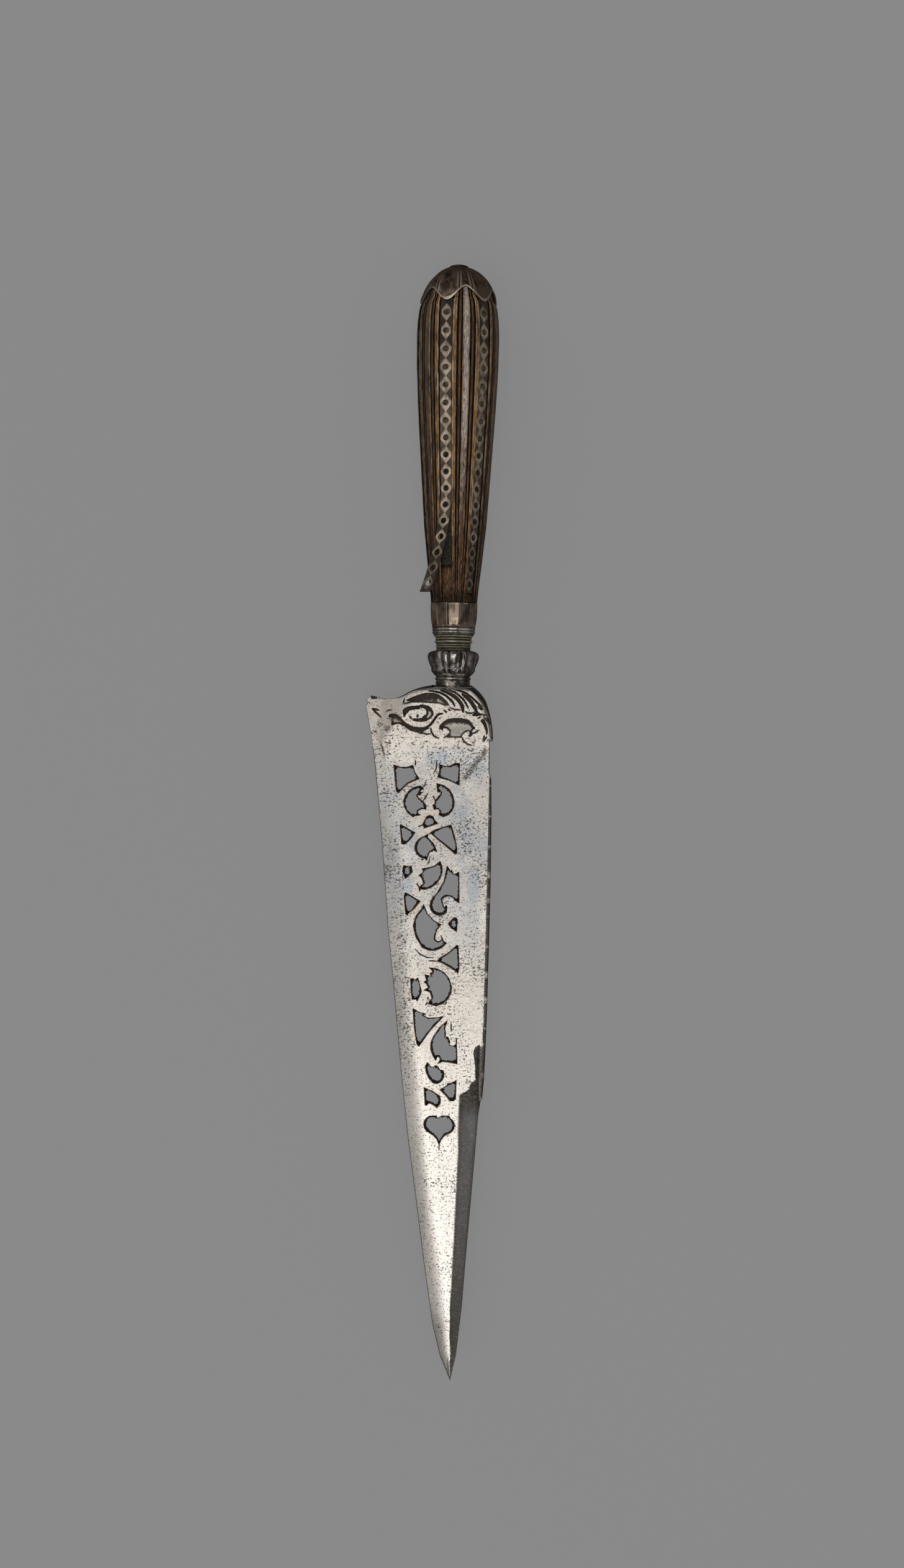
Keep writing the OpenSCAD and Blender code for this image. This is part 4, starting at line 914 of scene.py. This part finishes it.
def make_knop():
    ys = np.sort(np.concatenate([np.linspace(-1.5, 3.3, 60), np.linspace(3.35, 11.3, 90)]))
    turns = np.linspace(0, 2 * pi, 384, endpoint=False)
    r = knop_radius(*np.meshgrid(ys, turns, indexing="ij"))
    points = around(r, ys[:, None], turns).reshape(-1, 3)
    free = read(KNOP_LINE, ys)[:, None]
    groove = np.clip((free - r) / 0.45, 0, 1)
    ring = 0.8 * bell(ys, 1.95, 0.12) + bell(ys, 3.05, 0.22)
    ring += 0.5 * smooth(0.5, 0.1, ys)
    low = bell(ys, 4.1, 0.4) * 0.6 + bell(ys, 5.75, 0.22) * 0.5
    hollow = np.maximum(groove, (ring + low)[:, None]).ravel()
    # The knop's sides are painted dark as shade
    hollow = np.maximum(hollow, 0.58 * side_shade_and_tarnish(points, 0.3, 0.8))
    faces = grid_faces(len(ys), len(turns), True)
    add_piece("knop", points, faces, [KNOP], ["blade"], {"hollow": np.clip(hollow, 0, 1)}, sharp=60)


make_knop()


# Turned rings and the ferrule


def rings(y, places, steps):
    """1 at the heights of places, given as (height, width), for every corner of a turned piece."""
    total = sum((bell(y, centre, width) for centre, width in places), np.zeros(len(y)))
    return np.repeat(np.clip(total, 0, 1), steps)


def turned_piece(name, line, material, nodes, hollow_at=(), ridge_at=(), sides=0.45):
    """A solid of revolution whose line of (radius, height) is smoothed by many rings. hollow_at and
    ridge_at hold (height, width)."""
    steps = 256
    path = np.array(profile(line, 14 * len(line)))
    kernel = np.hanning(9) / np.hanning(9).sum()
    for _ in range(2):
        path[:, 1:] = [np.convolve(np.pad(row, 4, mode="edge"), kernel, "valid")[1:] for row in path]
    r, y = path
    turns = np.linspace(0, 2 * pi, steps, endpoint=False)
    points = around(r[:, None], y[:, None], turns).reshape(-1, 3)
    # sides sets how dark the painted shade on the piece's two sides is
    hollow = np.maximum(rings(y, hollow_at, steps), sides * side_shade_and_tarnish(points, 0.35, 0.85))
    values = {"hollow": hollow, "ridge": rings(y, ridge_at, steps)}
    faces = grid_faces(len(y), steps, True)
    add_piece(name, points, faces, [material], nodes, values, sharp=60)


turned_piece(
    "collar",
    [(3.3, 11.3), (5.4, 11.3), (5.45, 11.5), (5.3, 11.75), (5.3, 12.1), (5.6, 12.35), (5.3, 12.6),
     (5.3, 12.8), (5.6, 13.05), (5.35, 13.3), (5.4, 13.6), (5.95, 13.9), (6.0, 14.2), (5.6, 14.5),
     (5.5, 14.7), (5.8, 14.95), (5.6, 15.25), (5.65, 15.45), (6.0, 15.7), (6.1, 16.0), (6.5, 16.45),
     (6.5, 16.7), (3.3, 16.7)],
    ALLOY, ["neck_collar"],
    hollow_at=((11.9, 0.25), (12.7, 0.18), (13.45, 0.18), (14.65, 0.2), (15.35, 0.2), (16.2, 0.2)),
    ridge_at=((12.35, 0.14), (13.05, 0.12), (14.05, 0.22), (14.95, 0.12), (15.75, 0.14)),
)
turned_piece(
    "ring",
    [(3.3, 16.71), (6.4, 16.71), (6.72, 16.8), (6.78, 17.05), (6.6, 17.3), (6.42, 17.42), (6.5, 17.5),
     (6.72, 17.62), (6.8, 17.95), (6.72, 18.25), (6.5, 18.39), (3.3, 18.39)],
    BRIGHT, ["seat_ring"], hollow_at=((17.42, 0.14), (18.35, 0.06)), sides=0.65,
)

ferrule_low, ferrule_high = cad_box_mm("ferrule")
PANELS = 12


def make_ferrule():
    y0, y1 = ferrule_low[1], ferrule_high[1]
    r0, y = profile([
        (3.3, 0.01), (6.5, 0.01), (6.75, 0.15), (6.95, 0.5), (7.25, 1.6), (7.45, 3.0), (7.55, 4.5),
        (7.58, 6.6), (7.55, 7.2), (7.42, 7.6), (7.1, 7.86), (6.9, 7.86), (6.9, 7.3)
    ], 150)
    y = (y0 + y)[:, None]
    turns = np.linspace(0, 2 * pi, PANELS * 32, endpoint=False)
    turn = turns * PANELS / (2 * pi)
    share = np.abs(turn - np.round(turn)) * 2
    body = smooth(y0 + 0.2, y0 + 0.9, y) * smooth(y1 - 0.25, y1 - 0.8, y) * (r0 > 6.6)[:, None]
    r = r0[:, None] - body * (0.30 * (1 - share**2) + 0.16 * bell(share, 0.90, 0.035))
    points = around(r, y, turns).reshape(-1, 3)
    foot, mouth = 0.6 * smooth(y0 + 0.9, y0 + 0.1, y), 0.8 * smooth(y1 - 0.15, y1 - 0.02, y)
    hollow = np.maximum(body * bell(share, 0.90, 0.05), np.maximum(foot, mouth))
    # Painted shade on the ferrule's sides
    hollow = np.maximum(np.clip(hollow, 0, 1).ravel(), 0.4 * side_shade_and_tarnish(points))
    faces = grid_faces(len(y), len(turns), True)
    values = {"hollow": hollow}
    add_piece("ferrule_shell", points, faces, [FERRULE], ["ferrule"], values, sharp=60)


make_ferrule()


# Grip: the fluted body, foils and strips

GRIP_Y, CAP_Y = ferrule_high[1], cad_box_mm("pommel_cap")[0][1]
GRIP_LEN = CAP_Y - GRIP_Y
CHANNELS = 6
GRIP_TURN = np.radians(-18)
PITCH_TURN = 2 * pi / CHANNELS
LOW_R, MAX_R = 7.25, cad_box_mm("grip")[1][0]
# The round end under the cap
HEAD_R, HEAD_H = 11.0, 11.4
CHANNEL_LOW_W, CHANNEL_TOP_W, CHANNEL_DEPTH = 3.5, 4.6, 1.4
# Shares of the channel's width that its floor and its strip have
FLOOR_SHARE, STRIP_SHARE = 0.945, 0.97
# The gap at each side of a strip, how thick foils and strips are, where the strips begin, and how far
# up the first one is loose
STRIP_GAP, FOIL_T, STRIP_T = 0.1, 0.2, 0.5
STRIP_FOOT, LOOSE_FROM = GRIP_Y + 2.8, GRIP_Y + 33.8
FOIL_TORN = cad_box_mm("foil_1")[0][1]
GRIP_SHAPE = np.array([
    (0, 0), (0.04, 0.06), (0.15, 0.26), (0.26, 0.45), (0.36, 0.56), (0.47, 0.68), (0.58, 0.8), (0.68, 0.9),
    (0.79, 0.98), (0.9, 1), (0.95, 0.96), (0.985, 0.89), (1, 0.83)
])


def grip_r(y):
    return LOW_R + (MAX_R - LOW_R) * read(GRIP_SHAPE, (y - GRIP_Y) / GRIP_LEN)


def channel_w(y):
    return CHANNEL_LOW_W + (CHANNEL_TOP_W - CHANNEL_LOW_W) * (y - GRIP_Y) / GRIP_LEN


# Half of the band between two channels, as (share across, depth, gold, grey, worn edge): a ridge, a
# bead and half of the broad fillet. The other half is its mirror image.
HALF_BAND = np.array([
    (0.00, 0.35, 0.5, 0, 0.3), (0.012, 0.12, 0.9, 0, 1), (0.03, 0.03, 1, 0, 1), (0.055, 0.0, 1, 0, 0.3),
    (0.11, 0.0, 0.7, 0, 0), (0.135, 0.04, 1, 0, 0.5), (0.153, 0.14, 0.9, 0, 0.6), (0.17, 0.55, 0, 0, 0),
    (0.205, 0.55, 0, 0, 0), (0.22, 0.24, 0.1, 0, 0), (0.24, 0.1, 0.2, 0, 0), (0.3, 0.1, 0.2, 0, 0),
    (0.32, 0.2, 0.1, 0, 0), (0.334, 0.5, 0, 0, 0), (0.358, 0.5, 0, 0, 0), (0.37, 0.16, 0.9, 0, 0.8),
    (0.385, 0.05, 1, 0, 0.8), (0.405, 0.02, 0.8, 0.3, 0), (0.43, 0.0, 0.3, 0.95, 0), (0.5, 0.0, 0, 1, 0)
])
BAND = np.vstack([HALF_BAND, (HALF_BAND * (-1, 1, 1, 1, 1) + (1, 0, 0, 0, 0))[-2::-1]])
# How grey each of the six bands is: rubbed wear, and on the band that faces the front also painted sheen
GREY_WEAR_AND_SHEEN = (1.0, 0.35, 0.6, 0.8, 0.5, 0.15)


def make_grip():
    foot, head = [GRIP_Y + 0.02, GRIP_Y + 0.5], CAP_Y + np.array([1.5, 3, 4.4])
    ys = np.concatenate([foot, np.linspace(GRIP_Y + 1.2, CAP_Y, 150), head])
    per_band, per_channel = 100, 12
    shares, across = np.linspace(0, 1, per_band), np.linspace(-1, 1, per_channel)
    rows, values = [], {"hollow": [], "gold": [], "grey": [], "worn": []}
    for y in ys:
        low = min(y, CAP_Y)
        r = grip_r(low) if y <= CAP_Y else HEAD_R * np.sqrt(1 - ((y - CAP_Y) / HEAD_H) ** 2)
        half = np.arcsin(min(channel_w(low) / 2 / r, 0.45))
        deep = smooth(GRIP_Y, GRIP_Y + 2.4, y) * 0.7 + 0.3
        floor = r - CHANNEL_DEPTH * deep
        depth = read(BAND, shares) * deep * r / MAX_R
        for i in range(CHANNELS):
            centre = GRIP_TURN + PITCH_TURN * i
            ripple = 0.03 * np.abs(np.sin(0.19 * y + 7 * i) * np.sin(40 * shares + 0.05 * y + i))
            radii = np.concatenate([np.full(per_channel, floor), r - depth - ripple])
            turns = np.concatenate([centre + across * half * FLOOR_SHARE * (r / floor),
                                    centre + half + (PITCH_TURN - 2 * half) * shares])
            rows.append(around(radii, y, turns))
            open_to = FOIL_TORN if i == 0 else STRIP_FOOT
            bare = smooth(open_to + 1.5, open_to - 1.5, y)
            over = {"hollow": np.clip(read(BAND, shares) / 0.45, 0, 1), "gold": read(BAND, shares, 2),
                    "grey": read(BAND, shares, 3) * smooth(46, 84, y), "worn": read(BAND, shares, 4)}
            for key, on_floor in (("hollow", 1 - bare), ("gold", bare), ("grey", 0.0), ("worn", 0.0)):
                rubbed = over[key] * (GREY_WEAR_AND_SHEEN[i] if key == "grey" else 1)
                values[key].append(np.concatenate([np.full(per_channel, on_floor), rubbed]))
    values = {key: np.concatenate(parts) for key, parts in values.items()}
    points = np.concatenate(rows)
    # Painted shade on the grip's sides
    values["side"] = side_shade_and_tarnish(points)
    faces = grid_faces(len(ys), CHANNELS * (per_band + per_channel), True)
    add_piece("grip_body", points, faces, [WOOD], ["grip", "tang_filler"], values, sharp=50)


make_grip()

HOLES, HOLE_R = 17, 0.93
# Half the strip's width in its flat sheet, before it is fitted to its channel
SHEET_HALF = 1.9
# How far the first strip's loose end has gone sideways, how it bows and sinks, and its twist
LOOSE_REACH, LOOSE_BOW, LOOSE_SINK, LOOSE_TWIST = 6.2, 0.5, 0.6, np.radians(8)


def strip_width(y):
    return STRIP_SHARE * channel_w(y) - 2 * STRIP_GAP


def strip_frame(i, y, out):
    """Middle and turn of the band that lies out from the floor of channel i."""
    share = np.maximum(0, (LOOSE_FROM - y) / (LOOSE_FROM - STRIP_FOOT)) if i == 1 else 0 * y
    turn = GRIP_TURN + PITCH_TURN * (i - 1)
    r = grip_r(np.maximum(y, LOOSE_FROM) if i == 1 else y) - CHANNEL_DEPTH + out
    x = r * np.sin(turn) - LOOSE_REACH * share**1.8
    z = r * np.cos(turn) + LOOSE_BOW * np.sin(pi * share) - LOOSE_SINK * share
    return x, z, turn + LOOSE_TWIST * share


def hole_ys():
    u = np.arange(HOLES) / (HOLES - 1)
    top, low = CAP_Y - 3.9, STRIP_FOOT + 2.8
    return top - (top - low) * (1.1 * u - 0.1 * u * u)


def strip_sheet():
    """The pierced strip laid flat: its corners as (across, height), and its triangles."""
    holes, gap = hole_ys(), 0.13
    y0, y1 = STRIP_FOOT, CAP_Y + 0.4
    us = np.linspace(-SHEET_HALF, SHEET_HALF, int(2 * SHEET_HALF / gap) + 1)
    pts = np.stack(np.meshgrid(us, np.arange(y0, y1, gap), indexing="ij"), -1).reshape(-1, 2)
    ring = np.linspace(0, 2 * pi, 28, endpoint=False)
    circle = np.stack([np.cos(ring), np.sin(ring)], -1)
    border = np.array([(-SHEET_HALF, y0), (SHEET_HALF, y0), (SHEET_HALF, y1), (-SHEET_HALF, y1)])
    loops = [even(border, gap)] + [HOLE_R * circle + (0, y) for y in holes]
    pts = np.vstack([pts] + [(HOLE_R + 0.09) * circle + (0, y) for y in holes])
    pts = pts[inside(pts, loops)]
    return filled(loops, pts[near(pts, np.vstack(loops)) > 0.05], 1e-5)


def strip_cut(p):
    """How deep the strip is engraved, from 0 to 1: long hexagons round the holes stay bare, and
    chevrons fill the corners between them."""
    holes = hole_ys()
    v = p[:, 1][:, None] - holes[None, :]
    k = np.abs(v).argmin(axis=1)
    v = np.abs(v[np.arange(len(p)), k])
    reach = np.interp(p[:, 1], holes[::-1], np.abs(np.gradient(holes))[::-1]) / 2
    top = smooth(98, 112, p[:, 1])
    u, side, shoulder = np.abs(p[:, 0]), (0.99 - 0.24 * top) * SHEET_HALF, (0.12 + 0.16 * top) * reach
    slope = np.hypot(reach - shoulder, side)
    oblique = (u * (reach - shoulder) + (v - reach) * side) / slope
    out = np.maximum(oblique, u - side)
    ground = smooth(-0.02, 0.06, out) * (0.42 + 0.33 * top)
    lines = np.where(oblique > 0, 0.5 + 0.5 * np.cos(2 * pi * oblique / 0.36), 0) * smooth(0.0, 0.05, out)
    rim = 0.5 * bell(out, 0.05, 0.06)
    ring = 0.25 * bell(np.hypot(p[:, 0], v) - HOLE_R, 0.03, 0.07)
    # The strip is darker towards both ends
    darker_at_ends = 0.6 * smooth(58, 38, p[:, 1]) + 0.4 * smooth(104, 118, p[:, 1])
    return np.clip(np.maximum.reduce([ground + 0.55 * lines * (out > 0.1), rim, ring]) + darker_at_ends, 0, 1)


STRIP_FLAT = strip_sheet()


def make_strip(i):
    flat, tris = STRIP_FLAT
    u, y = flat[:, 0] / SHEET_HALF, flat[:, 1]
    cut = strip_cut(flat)
    width = strip_width(np.minimum(y, CAP_Y)) / 2
    edge = rounded_drop((1 - np.abs(u)) * SHEET_HALF, 0.12)
    sides = []
    for out, lift in ((FOIL_T + STRIP_T, -0.10 * cut - edge), (FOIL_T, 0 * cut)):
        x, z, turn = strip_frame(i, y, out)
        sides.append(np.stack([x + u * width * np.cos(turn) + lift * np.sin(turn), y,
                               z - u * width * np.sin(turn) + lift * np.cos(turn)], -1))
    n = len(flat)
    walls = [(b, a, a + n, b + n) for a, b in sorted(open_edges(tris))]
    faces = tris.tolist() + (tris[:, ::-1] + n).tolist() + walls
    values = {"hollow": np.concatenate([cut, np.full(n, 0.5)])}
    add_piece(f"pierced_strip_{i}", np.vstack(sides), faces, [STRIP], [f"strip_{i}"],
              values, sharp=45)


def make_foil(i):
    ys = np.arange(cad_box_mm(f"foil_{i}")[0][1], CAP_Y, 0.8)
    us = np.linspace(-1, 1, 9)
    rows, columns = len(ys), len(us)
    turn = GRIP_TURN + PITCH_TURN * (i - 1)
    width = strip_width(ys)[:, None] / 2
    yy = np.repeat(ys[:, None], columns, 1)
    if i == 1:
        yy[0] += 0.9 * rng.random(columns)
    layers = []
    for out in (FOIL_T * 0.9, 0.02):
        r = (grip_r(ys) - CHANNEL_DEPTH + out)[:, None]
        crumple = 0.05 * np.sin(yy * 2.1 + us * 4) * (out > 0.1)
        x = r * np.sin(turn) + us * (width * np.cos(turn))
        z = r * np.cos(turn) - us * (width * np.sin(turn)) + crumple
        layers.append(np.stack([x, yy, z], -1).reshape(-1, 3))
    top = grid_faces(rows, columns)
    ids = np.arange(rows * columns).reshape(rows, columns)
    ring = [*ids[0], *ids[1:, -1], *ids[-1, -2::-1], *ids[-2:0:-1, 0]]
    n = rows * columns
    side = [(a, b, b + n, a + n) for a, b in zip(ring, ring[1:] + ring[:1])]
    faces = top.tolist() + (top[:, ::-1] + n).tolist() + side
    bare = smooth(LOOSE_FROM, LOOSE_FROM - 8, np.repeat(ys, columns)) * (1.0 if i == 1 else 0.25)
    add_piece(f"backing_foil_{i}", np.vstack(layers), faces, [FOIL], [f"foil_{i}"],
              {"bare": np.tile(bare, 2)})


for channel in range(1, CHANNELS + 1):
    make_foil(channel)
    make_strip(channel)


# Pommel cap and button

# The cap's radius, height and thickness, how high its lip arches, and the radius of the hole at its top
CAP_R, CAP_H, CAP_T, ARCH, TOP_R = 12.05, 12.4, 0.9, 4.2, 1.6


def cap_surface(u, t, radius, height, fluted):
    """Radius and height over the cap, u across half a petal and t from the lip to the top."""
    wave = (1 - np.cos(pi * u)) / 2
    start = np.arcsin(ARCH * wave / height)
    end = np.arccos(TOP_R / radius)
    psi = start + (end - start) * t
    petal = np.where(u < 0.60, np.cos(np.clip(u / 0.60, 0, 1) * pi / 2) ** 0.8, 0)
    ribs = bell(u, 0.64, 0.035) + 0.8 * bell(u, 0.84, 0.035)
    fade = 1 - np.clip(t, 0, 1) ** 3
    lip = bell(t, 0.015, 0.025) * 0.22
    cut = 0.75 * petal * smooth(0.02, 0.3, t) + 0.45 * ribs * smooth(0.02, 0.09, t)
    r = radius * np.cos(psi) + (lip - cut * fade) * fluted
    return r, CAP_Y + height * np.sin(psi), petal, ribs


def make_cap():
    steps = 64
    k = np.arange(CHANNELS * steps)
    turns = GRIP_TURN + 2 * pi * k / (CHANNELS * steps)
    u = np.abs(2 * (k / steps - np.round(k / steps)))
    rows, hollow, ridge = [], [], []
    for t in np.concatenate([np.linspace(0, 0.12, 10), np.linspace(0.15, 1, 50)]):
        r, y, petal, ribs = cap_surface(u, t, CAP_R - 0.2, CAP_H, 1.0)
        rows.append(around(np.minimum(r, CAP_R), y, turns))
        # The grooves are darker, and the crown and the sides are painted dark as shade
        groove_dark = np.clip(0.9 * ribs, 0, 1) * smooth(0.05, 0.1, t)
        crown_shade = 0.5 * smooth(0.35, 0.75, t) + 0 * u
        hollow.append(np.maximum.reduce([groove_dark, crown_shade, 0.5 * side_shade_and_tarnish(rows[-1], 0.45, 0.85)]))
        # Lips and petal edges are painted pale, most at the front and back: rubbed wear with painted
        # highlight
        edge = 0.45 * bell(u, 0.55, 0.05) + 0.5 * bell(u, 0.74, 0.05)
        worn = 0.3 + 0.7 * bell(rows[-1][:, 0], 1, 5.5)
        ridge.append(np.maximum(smooth(0.06, 0.035, t), edge * smooth(0.7, 0.2, t)) * worn)
    for t in np.linspace(1, 0, 14):
        r, y, _, _ = cap_surface(u, t, CAP_R - CAP_T, CAP_H - CAP_T, 0.0)
        rows.append(around(r, y, turns))
        hollow.append(np.full(len(k), 0.9))
        ridge.append(np.zeros(len(k)))
    # The last row of faces joins the inside to the lip
    points = np.concatenate(rows)
    faces = grid_faces(len(rows) + 1, len(k), True)
    faces = np.where(faces >= len(points), faces - len(points), faces)
    add_piece("cap_dome", points, faces, [CAP], ["pommel_cap"],
              {"hollow": np.concatenate(hollow), "ridge": np.concatenate(ridge)}, sharp=60)


make_cap()
button_foot, button_top = (corner[1] for corner in cad_box_mm("tang_button"))
button_drop = ((0.02, 0), (1.5, 0.02), (1.7, 0.1), (2.4, 0.28), (2.95, 0.52), (3.1, 0.75))
button_line = [(r, button_top - drop) for r, drop in button_drop]
button_line += [(2.9, button_foot + 0.06), (0.5, button_foot + 0.2)]
turned_piece("button", button_line, CAP, ["tang_button"], ridge_at=((button_top, 0.2),))


# Floor, lights and camera. GLOW is how much of the floor that the camera sees is its plain grey.
GREY = (0.236, 0.236, 0.237)
GLOW = 0.85


def floor_material():
    """A plain grey floor. What the camera sees is mostly the grey itself, so that shadows stay faint."""
    n = Nodes("floor_grey")
    n.done((0.36, 0.36, 0.361), 0.9, 0.0, Specular_IOR_Level=0.1)
    glow = n.make("Emission", 0, {"Color": GREY})
    mixed = n.make("MixShader", 0, {0: n.times(n.seen(), GLOW), 1: n.shader.outputs[0], 2: glow})
    n.put(n.tree.nodes["Material Output"].inputs["Surface"], mixed)
    return n.material


floor_mesh = bpy.data.meshes.new("floor")
FLOOR_REACH, FLOOR_GAP = 6.0, 0.0004
corners = [(x * FLOOR_REACH, y * FLOOR_REACH, cad_box[0][2] - FLOOR_GAP)
           for x, y in ((-1, -1), (1, -1), (1, 1), (-1, 1))]
floor_mesh.from_pydata(corners, [], [(0, 1, 2, 3)])
floor_mesh.materials.append(floor_material())
floor = bpy.data.objects.new("floor", floor_mesh)
bpy.context.scene.collection.objects.link(floor)

# The room is soft grey, and what the camera and the metal see of it is grey low down and darker overhead
world = bpy.data.worlds.new("studio")
bpy.context.scene.world = world
room = Nodes("studio", world)
rise = room.step(room.axis("Z", room.direction), 0.3, 0.75)
backdrop = room.mix(rise, GREY, (0.06, 0.06, 0.061))
light = room.mix(room.seen(), (0.52, 0.52, 0.528), backdrop)
room.put(room.tree.nodes["Background"].inputs["Color"], light)


def soft_box(name, place, size, radiance, aim):
    """An area light that looks as bright as radiance from where it shines."""
    data = bpy.data.lights.new(name, "AREA")
    data.shape = "RECTANGLE"
    data.size, data.size_y = size
    data.energy = radiance * pi * size[0] * size[1]
    light = bpy.data.objects.new(name, data)
    bpy.context.scene.collection.objects.link(light)
    light.location = place
    light.rotation_mode = "QUATERNION"
    light.rotation_quaternion = (Vector(aim) - Vector(place)).to_track_quat("-Z", "Y")
    light.visible_camera = False


soft_box("over_tip", (-0.165, -0.72, 1.5), (0.81, 1.0), 2.3, (-0.165, -0.72, 0))
soft_box("over_grip", (-0.165, 0.12, 1.5), (0.81, 0.68), 1.1, (-0.165, 0.12, 0))
soft_box("key", (0.34, 0.36, 1.5), (0.24, 0.52), 4.0, (0.34, 0.36, 0))
soft_box("over_left", (-1.035, -0.08, 1.5), (0.93, 1.08), 1.15, (-1.035, -0.08, 0))
soft_box("far_left", (-1.28, 1.28, 0.85), (1.0, 0.9), 1.1, (0, 0, 0))
soft_box("near_right", (1.36, -1.36, 0.6), (1.0, 0.8), 1.1, (0, -0.1, 0))

# The camera looks straight down, and the picture is FRAME_HEIGHT high at the blade's middle
DISTANCE, FRAME_HEIGHT, ROLL = 800.0, 492.6, np.radians(0.85)
AIM_X, AIM_Y = 0.2, -30.5
camera_data = bpy.data.cameras.new("camera")
camera_data.lens = camera_data.sensor_width / 2 / (FRAME_HEIGHT / 2 / DISTANCE)
camera = bpy.data.objects.new("camera", camera_data)
bpy.context.scene.collection.objects.link(camera)
bpy.context.scene.camera = camera
eye = Vector((AIM_X, AIM_Y, DISTANCE)) * MM
camera.matrix_world = Matrix.Translation(eye) @ Matrix.Rotation(ROLL, 4, "Z")
bpy.context.scene.view_settings.view_transform = "Standard"
